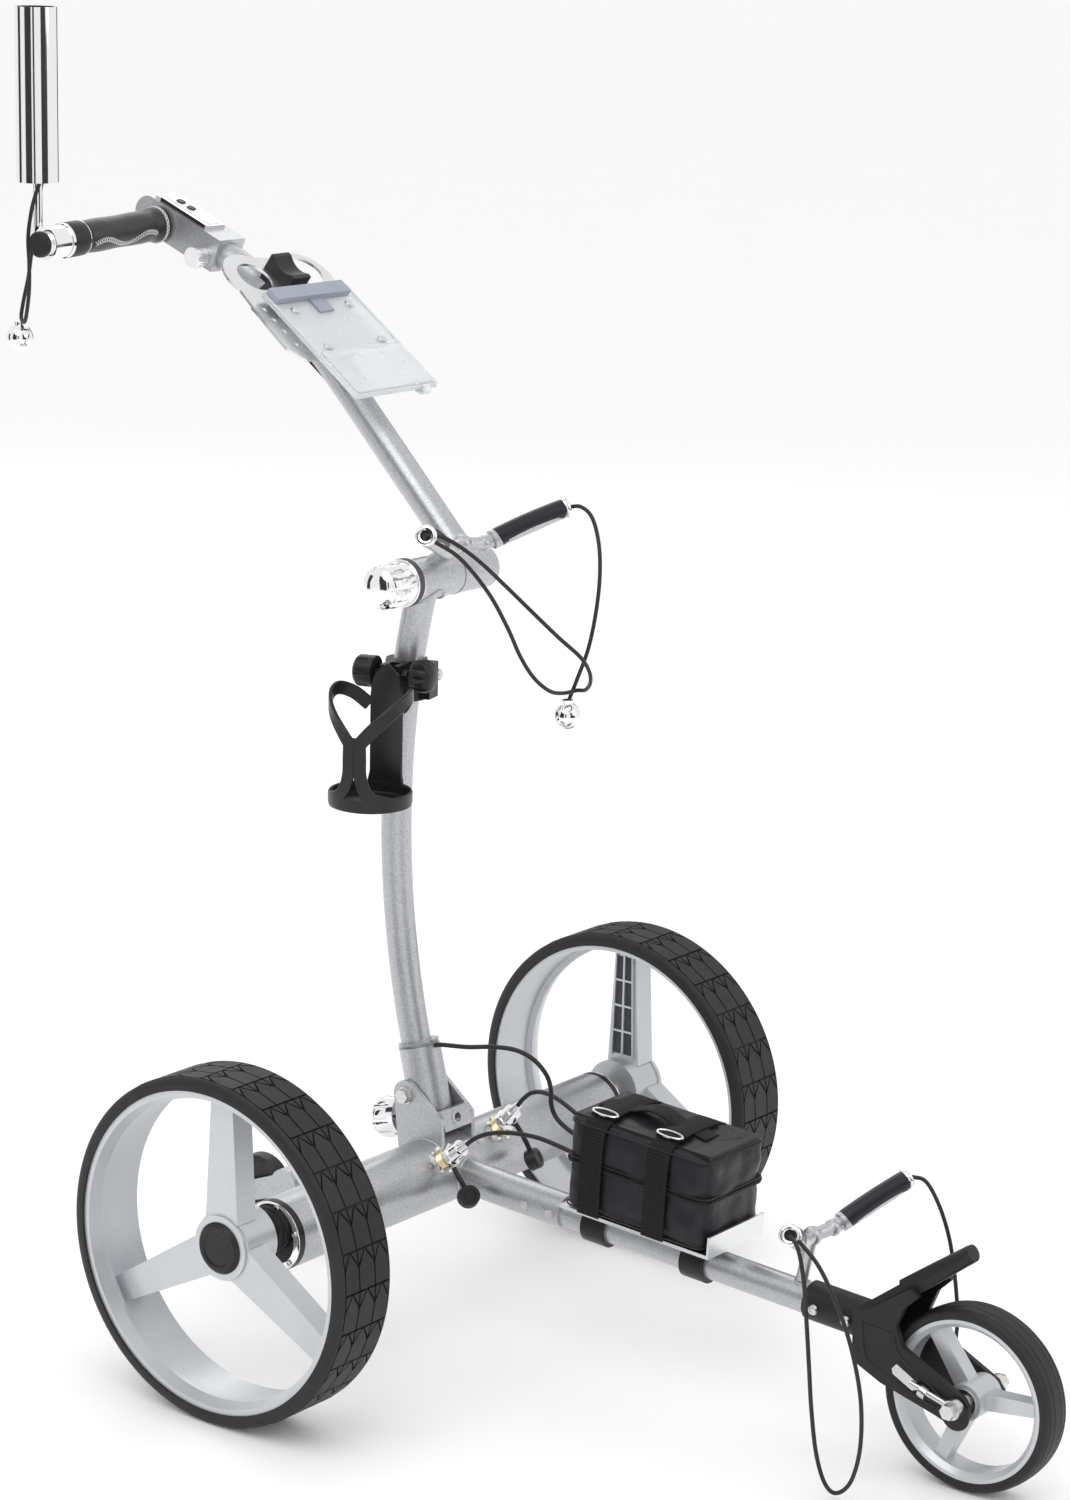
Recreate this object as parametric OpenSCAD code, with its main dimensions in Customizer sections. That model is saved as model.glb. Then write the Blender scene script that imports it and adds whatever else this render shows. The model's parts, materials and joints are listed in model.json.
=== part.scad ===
// Electric golf trolley with three wheels and a stem that folds in two places.
// Millimetres. +X points forward, +Y to the trolley's left, +Z up. The origin
// lies on the ground, midway under the axle of the two drive wheels.

/* [Drive wheels] */
// Outside diameter of a drive tyre
wheel_d = 290; // [230:1:340]
// Width of a drive tyre
tyre_w = 62; // [40:1:80]
// Thickness of the tyre over its rim
tyre_t = 11; // [8:0.5:16]
// Distance between the outer faces of the two drive tyres
track_w = 604; // [520:1:680]
// Wall of the rim band
rim_wall = 4; // [3:0.5:6]
// Diameter of the wheel hub
hub_d = 54; // [46:1:60]
// Diameter of the hub cap
cap_d = 43; // [34:1:44]
// Depth of the hub cap behind the outer face of the tyre
cap_depth = 15; // [8:1:22]
// Diameter of the drive shaft
shaft_d = 12; // [8:0.5:16]

/* [Front wheel] */
// Outside diameter of the front tyre
front_d = 150; // [120:1:180]
// Width of the front tyre
front_w = 32; // [24:1:40]
// Distance from the drive axle to the front axle
wheel_base = 535; // [480:1:640]
// Diameter of the front axle bolt
front_axle_d = 8; // [6:0.5:10]
// Outside diameter of the front ball bearings
bearing_d = 22; // [18:1:26]

/* [Axle and beam] */
// Diameter of the axle tube
axle_d = 60; // [54:1:70]
// Length of the axle tube
axle_len = 426; // [380:1:440]
// Wall of the axle tube
axle_wall = 2.5; // [2:0.5:4]
// Height of the drive shafts above the centre of the axle tube
axle_drop = 8; // [0:0.5:12]
// Diameter of the stem tubes and of the beam tube
tube_d = 26; // [20:0.5:28]
// Wall of the stem tubes and of the beam tube
tube_wall = 2; // [1.5:0.25:3]
// Diameter of the beam socket
socket_d = 30; // [28:0.5:36]
// Reach of the beam socket from the centre of the axle tube
socket_reach = 136; // [100:1:150]
// Downward slope of the beam in degrees
beam_slope = 3.2; // [0:0.1:5]

/* [Lower stem] */
// Height of the centre of the folding joint
joint_z = 647; // [560:1:740]
// Distance of the folding joint behind the drive axle
joint_back = 29; // [10:1:45]
// Bending radius of the lower stem
stem_bend_r = 788; // [700:1:1200]
// Height at which the lower stem stands plumb
stem_plumb_z = 441; // [400:1:470]
// Height of the top of the foot
foot_z = 241; // [235:1:255]
// Diameter of the foot
foot_d = 36; // [32:0.5:40]
// Height of the fold pin of the foot
pivot_z = 202; // [196:1:208]
// Distance of the fold pin behind the drive axle
pivot_back = 24; // [20:1:28]
// Diameter of the fold pin
pivot_d = 8; // [6:0.5:10]

/* [Folding joint] */
// Diameter of the joint barrel
barrel_d = 36; // [32:1:44]
// Length of the lower half of the joint barrel
lower_half = 55; // [48:1:66]
// Length of the upper half of the joint barrel
upper_half = 45; // [40:1:60]
// Distance between the lower and the upper stem, measured across the trolley
stem_offset = 60; // [56:1:66]
// Diameter of the through bolt of the joint
joint_bolt_d = 10; // [8:0.5:12]
// Diameter of the lobed joint knob
knob_d = 37; // [32:1:42]

/* [Upper stem] */
// Length of the straight stretch of the upper stem
upper_straight = 200; // [150:1:260]
// Rise of the upper stem at the joint in degrees
upper_rise = 45.5; // [35:0.5:60]
// Bending radius of the upper stem
upper_bend_r = 480; // [350:1:800]
// Bend of the upper stem in degrees
upper_bend = 24; // [10:0.5:40]
// Length of the controller head past the end of the tube
head_len = 52; // [48:1:80]
// Width of the controller head
head_w = 33; // [31:0.5:40]
// Height of the controller head
head_h = 30; // [29:0.5:40]

/* [Grip and umbrella holder] */
// Diameter of the grip tube
grip_tube_d = 20; // [16:0.5:24]
// Length of the leather on the grip
grip_len = 97; // [80:1:130]
// Diameter of the leather grip
grip_d = 28; // [25:0.5:34]
// Droop of the grip in degrees
grip_droop = 3; // [0:0.5:8]
// Outside diameter of the umbrella tube
umbrella_d = 36; // [30:0.5:44]
// Wall of the umbrella tube
umbrella_wall = 1.5; // [1:0.25:3]
// Length of the umbrella tube
umbrella_len = 146; // [110:1:200]

/* [Battery] */
// Length of the battery bag along the beam
bag_len = 145; // [120:1:180]
// Width of the battery bag
bag_w = 82; // [70:1:110]
// Height of the battery bag
bag_h = 88; // [70:1:110]
// Thickness of the padded wall of the bag
bag_wall = 5; // [3:0.5:8]

/* [Card holder and bottle cage] */
// Length of the clear card board
board_len = 130; // [110:1:160]
// Width of the clear card board
board_w = 106; // [90:1:120]
// Inside diameter of the bottle cage
bottle_d = 64; // [56:1:76]
// Height of the bottle cage
cage_h = 122; // [110:1:150]

/* [Cords] */
// Diameter of the elastic cords
cord_d = 3.4; // [2.5:0.1:5]
// Diameter of the cord balls
ball_d = 23; // [18:1:30]
// Diameter of the power cables
cable_d = 4; // [3:0.1:6]

/* [Hidden] */
$fn = 64;

// Clearances
run_gap = 0.05;      // radial play of a running fit
part_gap = 0.3;      // gap between neighbours that turn past each other
slip_gap = 0.5;      // gap round a piece that is pushed in by hand

// Ground line, axle and wheels
shaft_z = wheel_d / 2;
axle_z = shaft_z - axle_drop;
axle_r = axle_d / 2;
wheel_y = (track_w - tyre_w) / 2;
rim_r = wheel_d / 2 - tyre_t;
flange_t = 6;
boot_len = 14;
spoke_count = 3;

// Beam frame: origin at the centre of the axle tube, +X along the beam
screw_r = 2;
coupling_x = 382;
coupling_len = 58;
coupling_r = 16;
fork_x = 437;
fork_gap = front_w + 12;
fork_t = 5;
fork_y = fork_gap / 2;
front_z = front_d / 2;
front_tyre_t = 9;
front_spoke_turn = -36;

// Battery, in the beam frame
bag_x = 157;
bag_floor = 24;
tray_w = bag_w - 4;

// Anti-tip wheel
tip_x = -207;
tip_z = 70;
tip_r = 30;

// Lower stem arc
stem_cx = -joint_back + sqrt(pow(stem_bend_r, 2) - pow(joint_z - stem_plumb_z, 2));
stem_top_a = 180 - asin((joint_z - stem_plumb_z) / stem_bend_r);
stem_foot_a = 180 + asin((stem_plumb_z - foot_z) / stem_bend_r);
foot_x = 3 + stem_cx - sqrt(pow(stem_bend_r, 2) - pow(foot_z - stem_plumb_z, 2));
foot_lean = stem_foot_a - 180;
foot_len = 76;
swing_r = 38.5;
plate_t = 4;
plate_y = foot_d / 2 + part_gap;
stud_drop = 21.7;
stud_r = 4;

// Folding joint
barrel_r = barrel_d / 2;
near_end = -23;
joint_y = near_end + lower_half;
far_end = joint_y + part_gap + upper_half;
upper_y = stem_offset;
washer_t = 8;
joint_knob_len = 34;

// Upper stem frame
bend_x = -joint_back - upper_straight * cos(upper_rise);
bend_z = joint_z + upper_straight * sin(upper_rise);
arc_cx = bend_x - upper_bend_r * sin(upper_rise);
arc_cz = bend_z - upper_bend_r * cos(upper_rise);
head_rise = upper_rise - upper_bend;
tube_end_x = arc_cx + upper_bend_r * sin(head_rise);
tube_end_z = arc_cz + upper_bend_r * cos(head_rise);
head_x = tube_end_x - head_len * cos(head_rise);
head_z = tube_end_z + head_len * sin(head_rise);
head_lap = 34;
head_wall = 2.5;
button_xs = [19, 32];
button_r = 4.5;
dial_at = [72, -7];
dial_r = 9;
panel_x = [0, 64];
panel_low = 11;

// Grip and umbrella holder
grip_at = [16, -3];
grip_root_y = upper_y - head_w / 2;
grip_x = head_x + grip_at[0] * cos(head_rise) + grip_at[1] * sin(head_rise);
grip_z = head_z - grip_at[0] * sin(head_rise) + grip_at[1] * cos(head_rise);
collar_len = 22;
sleeve_start = grip_len + collar_len + 2;
sleeve_len = 20;
end_cap_len = 8;
umbrella_back = 18;
rod_d = 8;
umbrella_z = 953;
umbrella_y = grip_root_y - (sleeve_start + sleeve_len / 2) * cos(grip_droop);

// Card holder frame, centred on its clear board
card_x = -163;
card_z = 828;
card_tilt = 36;
board_t = 4;
plate_drop = 8;       // drop of the round plate below the top of the board

// Bottle cage
cage_turn = 16;
cage_z = 560;
cage_reach = 36;
band_r = 17.5;
band_h = 34;
cage_half = 15;
cage_top = 20;
lug_z = 9;
lug_x = cage_reach - 8;

// Cradles: the middle, the shoulder and the tip of each arm
upper_v = [[10, 0, 681], [15, 22, 679], [46, 91, 704]];
lower_v = [[379, 0, 169], [384, 22, 171], [413, 84, 202]];
arm_r = 6;
arm_sleeve_r = 8;
post_foot = [369, 0, 122];

// Cord routes, chosen by hand
handle_route = [[-380, -93, 953], [-384, -97, 936], [-387, -99, 917], [-388.5, -99, 903], [-388.5, -98, 884],
    [-390, -97, 862], [-395, -95, 843], [-403, -90, 833], [-411, -86, 836], [-410, -84, 850], [-405, -83, 870],
    [-402, -82, 890], [-399, -81, 910], [-396, -81, 928], [-392, -81, 942], [-389, -81, 953]];
upper_near_route = [[48, -94, 705], [50, -82, 704], [58, -68, 696], [70, -52, 681], [84, -36, 661], [100, -20, 639],
    [116, -5, 618], [127, 9, 602], [126, 23, 588], [118, 36, 575], [105, 47, 565], [93, 51, 562], [88, 38, 561],
    [88, 20, 566], [84, 4, 579], [82, -12, 599], [82, -30, 626], [75, -47, 656], [61, -67, 685], [48, -90, 702]];
upper_far_route = [[49, 94, 705], [60, 95, 706], [73, 93, 699], [85, 87, 680], [93, 79, 655], [96, 71, 626],
    [95, 63, 596], [91, 54, 571], [87, 49, 554]];
lower_near_route = [[415, -87, 203], [426, -92, 196], [433, -93, 172], [437, -93, 140], [441, -93, 104],
    [445, -93, 68], [451, -93, 34], [460, -93, 12], [471, -93, 7], [483, -92, 20], [490, -92, 50], [488, -91, 88],
    [478, -90, 124], [464, -89, 154], [444, -88, 184], [423, -87, 201]];
lower_far_route = [[416, 87, 204], [428, 89, 202], [441, 90, 184], [452, 90, 158], [459, 90, 126], [463, 90, 94],
    [462, 90, 66]];
stem_cable_route = [[-9.85, 0, 244.42], [-2.11, 0, 246.45], [22, 3, 249], [46, 8, 253], [66, 14, 253], [81, 20, 246],
    [90, 26, 233], [92, 30, 219], [91, 32, 206], [97, 33, 194], [116, 31, 186], [140, 26, 184], [159.3, 22, 184]];
near_cable_route = [[51.46, -31, 178.37], [60, -31, 185.2], [72, -31, 191.5], [86, -30, 195.8], [104, -27, 198],
    [124, -25, 198], [145, -22, 194], [159.7, -21, 191]];
far_cable_route = [[40.65, 52, 189.03], [45.58, 52, 195.33], [54, 52, 202.5], [66, 50.5, 206.5], [82, 47, 207],
    [102, 41, 204], [124, 34, 199], [147, 28, 195], [159.8, 26, 193]];

// ---- shared shapes ----

// A cylinder from the first point to the second
module rod(a, b, r, r2 = undef) {
    d = b - a;
    l = norm(d);
    translate(a) rotate([0, acos(d[2] / l), atan2(d[1], d[0])])
        cylinder(r1 = r, r2 = is_undef(r2) ? r : r2, h = l);
}

// A cylinder along Y
module y_rod(x, z, y0, y1, r) {
    translate([x, y0, z]) rotate([-90, 0, 0]) cylinder(r = r, h = y1 - y0);
}

// A solid of revolution about a Y axis; the outline holds [radius, y]
module y_turned(x, z, outline) {
    translate([x, 0, z]) rotate([-90, 0, 0]) rotate_extrude($fn = 96) polygon(outline);
}

// A flat outline in the XZ plane, thickened along Y
module xz_plate(y0, y1) {
    translate([0, y1, 0]) rotate([90, 0, 0]) linear_extrude(y1 - y0) children();
}

// A round bar bent in the XZ plane about a centre, from one angle through another
module bent_bar(cx, cz, y, bend_r, r, a0, sweep) {
    translate([cx, y, cz]) rotate([0, -a0, 0]) rotate([90, 0, 0])
        rotate_extrude(angle = sweep, $fn = 360) translate([bend_r, 0]) circle(r, $fn = 48);
}

// The frame of the sloping beam
module on_beam() { translate([0, 0, axle_z]) rotate([0, beam_slope, 0]) children(); }

// The frame of the controller head, +X forward along the stem
module on_head() { translate([head_x, upper_y, head_z]) rotate([0, head_rise, 0]) children(); }

// The frame of the grip: +Z runs outward along the grip
module on_grip() { translate([grip_x, grip_root_y, grip_z]) rotate([90 + grip_droop, 0, 0]) children(); }

// The frame of the card board
module on_card() { translate([card_x, upper_y, card_z]) rotate([0, card_tilt, 0]) children(); }

// The frame of the bottle cage: +X outward from the stem
module on_cage() {
    translate([stem_x(cage_z), 0, cage_z]) rotate([0, 0, cage_turn - 90]) children();
}

// A lobed knob along +Z with a domed end
module lobed_knob(d, h, lobes) {
    difference() {
        union() {
            cylinder(d = d, h = h - d / 4);
            translate([0, 0, h - d / 4]) intersection() {
                scale([1, 1, 0.5]) sphere(d = d);
                cylinder(d = d, h = d / 4);
            }
        }
        for (i = [0 : lobes - 1]) rotate(i * 360 / lobes)
            translate([d / 2 + d * 0.06, 0, d * 0.16]) cylinder(d = d * 0.22, h = h, $fn = 24);
    }
}

function stem_x(z) = stem_cx - sqrt(pow(stem_bend_r, 2) - pow(z - stem_plumb_z, 2));
function beam_z(x) = axle_z - x * tan(beam_slope);
function unit(v) = v / norm(v);

// ---- cords ----
function carried(side, n) = unit(side - n * (side * n));

// The side vector at each ring, carried along the route so that the tube doesn't twist
function side_vectors(route, i = 0, side = [0, 0, 0], out = []) =
    i == len(route) ? out :
    let (n = route_dir(route, i),
         s = i == 0 ? unit(cross(n, abs(n[2]) > 0.9 ? [1, 0, 0] : [0, 0, 1])) : carried(side, n))
    side_vectors(route, i + 1, s, concat(out, [s]));

function route_dir(route, i) =
    i == 0 ? unit(route[1] - route[0]) :
    i == len(route) - 1 ? unit(route[i] - route[i - 1]) : unit(route[i + 1] - route[i - 1]);

module cord(route, d, sides = 8) {
    s = side_vectors(route);
    rings = len(route);
    points = [for (i = [0 : rings - 1]) let (n = route_dir(route, i), up = cross(s[i], n))
        for (k = [0 : sides - 1])
            route[i] + d / 2 * (cos(k * 360 / sides) * s[i] + sin(k * 360 / sides) * up)];
    faces = concat(
        [[for (k = [0 : sides - 1]) k]],
        [for (i = [0 : rings - 2]) for (k = [0 : sides - 1])
            let (a = i * sides + k, b = i * sides + (k + 1) % sides)
            each [[a, a + sides, b], [b, a + sides, b + sides]]],
        [[for (k = [0 : sides - 1]) rings * sides - 1 - k]]);
    polyhedron(points, faces);
}

// ---- axle, bracket and beam ----
module axle_tube() {
    color("silver") {
        difference() {
            union() {
                y_rod(0, axle_z, -axle_len / 2, axle_len / 2, axle_r);
                on_beam() rod([axle_r - 12, 0, 0], [socket_reach, 0, 0], socket_d / 2);
            }
            y_rod(0, axle_z, -axle_len / 2 - 1, axle_len / 2 + 1, axle_r - axle_wall);
            on_beam() rod([axle_r + 2, 0, 0], [socket_reach + 1, 0, 0], tube_d / 2 + run_gap);
            screw_holes();
        }
    }
}

module screw_holes() { on_beam() for (x = screw_xs()) y_rod(x, 0, -40, 40, screw_r); }

module bracket_outline() {
    hull() {
        translate([-pivot_back, pivot_z]) circle(13);
        translate([-axle_r, axle_z + 10]) square([1, 1]);
        translate([axle_r - 14, axle_z + 10]) square([1, 1]);
        translate([12, axle_z + 48]) circle(4);
    }
}

module hinge_bracket() {
    color("silver") difference() {
        union() {
            for (s = [-1, 1]) xz_plate(s > 0 ? plate_y : -plate_y - plate_t, s > 0 ? plate_y + plate_t : -plate_y)
                bracket_outline();
            translate([13, 0, axle_z + 48]) rotate([0, -16, 0]) {
                cube([5, 2 * plate_y + 0.2, 18], center = true);
                rotate([0, 90, 0]) cylinder(d = 15, h = 6, center = true);
            }
        }
        y_rod(0, axle_z, -60, 60, axle_r + 0.02);
        y_rod(-pivot_back, pivot_z, -60, 60, pivot_d / 2 + run_gap);
        translate([13, 0, axle_z + 48]) rotate([0, 74, 0]) cylinder(r = stud_r, h = 30, center = true);
    }
}

module pivot_bolt() {
    color("lightgray") {
        y_rod(-pivot_back, pivot_z, -plate_y - plate_t - 0.2, plate_y + plate_t + 7, pivot_d / 2);
        translate([-pivot_back, -plate_y - plate_t - 0.2, pivot_z]) rotate([90, 0, 0]) {
            cylinder(d = 15, h = 1.2);
            translate([0, 0, 1.2]) cylinder(d = 13, h = 5, $fn = 6);
        }
        translate([-pivot_back, plate_y + plate_t + 0.2, pivot_z]) rotate([-90, 0, 0]) cylinder(d = 13, h = 6, $fn = 6);
    }
}

// The frame of the lock stud: origin on the foot's axis line, +X forward along the stud
module on_stud() {
    translate([-pivot_back, 0, pivot_z]) rotate([0, -16, 0]) translate([0, 0, -stud_drop]) children();
}

module base_knob() {
    color("gainsboro") on_stud() {
        translate([-25, 0, 0]) rotate([0, -90, 0]) lobed_knob(36, 30, 8);
        rod([-25, 0, 0], [24, 0, 0], stud_r);
    }
}

module beam_tube() {
    color("silver") difference() {
        on_beam() rod([axle_r + 4, 0, 0], [fork_x + 20, 0, 0], tube_d / 2);
        on_beam() rod([axle_r + 3, 0, 0], [fork_x + 21, 0, 0], tube_d / 2 - tube_wall);
        screw_holes();
    }
}

function screw_xs() = [socket_reach - 34, socket_reach - 8, coupling_x + 12, coupling_x + 43];

module frame_screws() {
    color("lightgray") on_beam() for (i = [0 : 3]) {
        r = i < 2 ? socket_d / 2 : coupling_r;
        y_rod(screw_xs()[i], 0, -r - 1, r + 1, screw_r);
        for (s = [-1, 1]) scale([1, s, 1]) y_rod(screw_xs()[i], 0, r, r + 2.5, 3.8);
    }
}

// ---- drive units ----
module drive_motors() {
    inner = axle_r - axle_wall - slip_gap;
    color("dimgray") for (s = [-1, 1]) scale([1, s, 1]) difference() {
        union() {
            y_rod(0, axle_z, axle_len / 2 - 170, axle_len / 2 - 58, inner - 3);
            y_rod(0, axle_z, axle_len / 2 - 58, axle_len / 2, inner);
            y_rod(0, axle_z, axle_len / 2, axle_len / 2 + flange_t, axle_r);
            y_turned(0, shaft_z, [[0, axle_len / 2 + flange_t], [20, axle_len / 2 + flange_t],
                [14, axle_len / 2 + flange_t + boot_len], [0, axle_len / 2 + flange_t + boot_len]]);
        }
        y_rod(0, shaft_z, axle_len / 2 - 40, axle_len / 2 + 60, shaft_d / 2 + run_gap);
    }
}

module socket_at(y, rise) {
    translate([0, y, axle_z]) rotate([0, -rise, 0]) {
        difference() {
            union() {
                translate([axle_r - 2, -8.5, -8.5]) cube([5, 17, 17]);
                rod([axle_r + 3, 0, 0], [axle_r + 13, 0, 0], 8);
            }
            rod([axle_r + 2, 0, 0], [axle_r + 14, 0, 0], 5);
            y_rod(0, 0, -30, 30, axle_r + 0.02);
        }
    }
}

module power_sockets() {
    color("lightgray") {
        socket_at(-31, 38.8);
        socket_at(52, 52);
    }
    // Rubber dust caps on their straps
    color("black") {
        translate([56, -34, 133]) rotate([30, 50, 0]) cylinder(r = 9, h = 9, center = true);
        rod([40, -33, 153], [52, -34, 140], 1.6);
        translate([52, 60, 140]) rotate([-20, 60, 0]) cylinder(r = 8.5, h = 9, center = true);
        rod([38, 53, 170], [50, 59, 146], 1.6);
    }
}

module plug_at(y, rise) {
    translate([0, y, axle_z]) rotate([0, -rise, 0]) {
        rod([axle_r + 2.2, 0, 0], [axle_r + 13.2, 0, 0], 4.9);
        rod([axle_r + 13.2, 0, 0], [axle_r + 27, 0, 0], 7.5);
        rod([axle_r + 27, 0, 0], [axle_r + 36, 0, 0], 5, 3);
    }
}

module cable_plugs() {
    color("gainsboro") {
        plug_at(-31, 38.8);
        plug_at(52, 52);
    }
}

module power_cables() {
    color("black") {
        cord(near_cable_route, cable_d);
        cord(far_cable_route, cable_d);
    }
}

// ---- battery ----

module battery_tray() {
    color("gainsboro") on_beam() {
        translate([bag_x - 2, -tray_w / 2, bag_floor - 3]) cube([bag_len + 5, tray_w, 3]);
        translate([bag_x + bag_len + 1, -tray_w / 2, bag_floor - 3]) cube([2, tray_w, 19]);
    }
}

module tray_clamps() {
    color("black") on_beam() for (x = [bag_x + 4, bag_x + bag_len - 40]) difference() {
        union() {
            rod([x, 0, 0], [x + 22, 0, 0], tube_d / 2 + 4);
            translate([x, -14, 0]) cube([22, 28, bag_floor - 3.05]);
        }
        rod([x - 1, 0, 0], [x + 23, 0, 0], tube_d / 2);
        for (k = [1 : 4]) translate([x + k * 4.4 - 0.8, -30, -30]) cube([1.6, 60, 16]);
    }
}

module battery_bag() {
    color("black") on_beam() difference() {
        translate([bag_x, -bag_w / 2, bag_floor]) cube([bag_len, bag_w, bag_h]);
        translate([bag_x + bag_wall, -bag_w / 2 + bag_wall, bag_floor + bag_wall])
            cube([bag_len - 2 * bag_wall, bag_w - 2 * bag_wall, bag_h - 2 * bag_wall]);
    }
}

module battery_pack() {
    g = bag_wall + slip_gap;
    color("dimgray") on_beam() {
        translate([bag_x + g, -bag_w / 2 + g, bag_floor + g]) cube([bag_len - 2 * g, bag_w - 2 * g, bag_h - 2 * g]);
    }
}

// ---- cradles that hold a golf bag ----
function mirrored(p) = [p[0], -p[1], p[2]];

// One arm of a cradle as a solid of revolution: bar, soft sleeve and the bore for the cord
module cradle_arm(a, b) {
    d = b - a;
    l = norm(d);
    translate(a) rotate([0, acos(d[2] / l), atan2(d[1], d[0])]) rotate_extrude()
        polygon([[0, -2], [arm_r, -2], [arm_r, 8], [arm_sleeve_r, 8], [arm_sleeve_r, l + 1], [3.6, l + 1],
            [3.6, l - 14], [0, l - 14]]);
}

// One cradle: a bent bar with two sleeved arms
module cradle_arms(v) {
    for (s = [-1, 1]) {
        shoulder = s > 0 ? v[1] : mirrored(v[1]);
        tip = s > 0 ? v[2] : mirrored(v[2]);
        rod(v[0], shoulder, arm_r - 0.5);
        translate(shoulder) rotate(40) sphere(arm_r + 1);
        cradle_arm(shoulder, tip);
    }
    translate(v[0]) rotate(40) sphere(arm_r + 2);
}

module lower_cradle() {
    color("silver") {
        cradle_arms(lower_v);
        difference() {
            translate(post_foot) rotate([0, 12, 0]) rotate(25) cylinder(r = 5, h = 49);
            on_beam() rod([300, 0, 0], [460, 0, 0], tube_d / 2 + 0.02);
        }
    }
}

module upper_cradle() {
    color("silver") difference() {
        union() {
            cradle_arms(upper_v);
            rod([-joint_back + 8, 0, joint_z + 15], upper_v[0], 6.5);
        }
        y_rod(-joint_back, joint_z, -60, 60, barrel_r + 0.02);
    }
}

// ---- front fork ----
module fork_side() {
    polygon([[fork_x, 130], [fork_x + 1, 88], [465, 76], [516, 63], [wheel_base - 4, 58], [wheel_base + 6, 60],
        [wheel_base + 11, 68], [wheel_base + 10, 77], [wheel_base + 6, 83], [483, 111], [477, 126], [484, 143],
        [496, 155], [488, 160], [447, 131]]);
}

module front_fork() {
    color("black") difference() {
        union() {
            on_beam() rod([coupling_x, 0, 0], [coupling_x + coupling_len, 0, 0], coupling_r);
            for (s = [-1, 1]) xz_plate(s > 0 ? fork_y : -fork_y - fork_t, s > 0 ? fork_y + fork_t : -fork_y)
                fork_side();
            translate([fork_x, -fork_y - 0.1, 86]) cube([13, fork_gap + 0.2, 44]);
            // Tapered rest for the golf bag
            hull() {
                translate([440, -fork_y - fork_t, 124]) cube([8, fork_gap + 2 * fork_t, 8]);
                translate([480, -fork_y + 2, 157]) cube([10, fork_gap - 4, 6]);
            }
            hull() {
                translate([474, -fork_y + 2, 152]) cube([14, fork_gap - 4, 10]);
                translate([524, 0, 190]) rotate([0, 58, 0]) cylinder(r = 7, h = 4, $fn = 32);
            }
        }
        on_beam() rod([coupling_x - 1, 0, 0], [fork_x + 22, 0, 0], tube_d / 2 + run_gap);
        screw_holes();
        y_rod(wheel_base, front_z, -60, 60, front_axle_d / 2 + run_gap);
        y_rod(wheel_base, front_z, -fork_y, fork_y, front_d / 2 + 4);
    }
}

module tracking_adjusters() {
    color("gainsboro") for (s = [-1, 1]) scale([1, s, 1]) {
        y0 = fork_y + fork_t;
        xz_plate(y0, y0 + 3) polygon([[477, 92], [481, 97], [500, 87], [501, 81], [496, 79], [478, 88]]);
        rod([496, y0 + 5, 86], [wheel_base - 7, y0 + 5, front_z + 2.5], 2.5);
        difference() {
            y_rod(wheel_base, front_z, y0 + 1, y0 + 9, 8);
            y_rod(wheel_base, front_z, y0, y0 + 10, front_axle_d / 2 + run_gap);
        }
        rod([505, y0 + 5, 82.5], [511, y0 + 5, 80.4], 5);
    }
}

module front_axle() {
    y1 = fork_y + fork_t + 9;
    color("gainsboro") {
        y_rod(wheel_base, front_z, -y1, y1, front_axle_d / 2);
        for (s = [-1, 1]) scale([1, s, 1])
            translate([wheel_base, y1, front_z]) rotate([-90, 0, 0]) cylinder(d = 13, h = 6, $fn = 6);
        // Ball bearings and their spacers
        for (s = [-1, 1]) scale([1, s, 1]) difference() {
            union() {
                y_rod(wheel_base, front_z, front_w / 2 - 6, front_w / 2 + 1, bearing_d / 2);
                y_rod(wheel_base, front_z, front_w / 2 + 1, fork_y - 0.05, 6.5);
            }
            y_rod(wheel_base, front_z, 0, 60, front_axle_d / 2 + 0.02);
        }
    }
}

// ---- anti-tip wheel ----

module antitip_bar() {
    elbow = [tip_x + 40, 0, tip_z + 15];
    color("gainsboro") difference() {
        union() {
            rod([0, 0, axle_z], elbow, 8);
            translate(elbow) rotate([90, 0, 0]) cylinder(r = 14, h = 34, center = true);
            for (s = [-1, 1]) xz_plate(s > 0 ? 13 : -17, s > 0 ? 17 : -13) hull() {
                translate([tip_x, tip_z]) circle(9);
                translate([elbow[0], elbow[2]]) circle(10);
            }
            y_rod(tip_x, tip_z, -20, 20, 4);
        }
        y_rod(0, axle_z, -60, 60, axle_r + 0.02);
        y_rod(tip_x, tip_z, -12.95, 12.95, tip_r + 3);
    }
    color("gainsboro") y_rod(tip_x, tip_z, -13, 13, 4);
}

module antitip_wheel() {
    color("black") y_turned(tip_x, tip_z, [[4 + run_gap, -12.5], [9, -12.5], [9, -9], [tip_r - 4, -10],
        [tip_r, -6], [tip_r, 6], [tip_r - 4, 10], [9, 9], [9, 12.5], [4 + run_gap, 12.5]]);
}

// ---- drive wheels; s is +1 on the left and -1 on the right ----
module tyre(s) {
    w = tyre_w / 2;
    r = wheel_d / 2;
    color("black") translate([0, s * wheel_y, 0]) y_turned(0, shaft_z, [[rim_r, -w], [r - 3.5, -w], [r, -w + 9],
        [r, w - 9], [r - 3.5, w], [rim_r, w]]);
}

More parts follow.
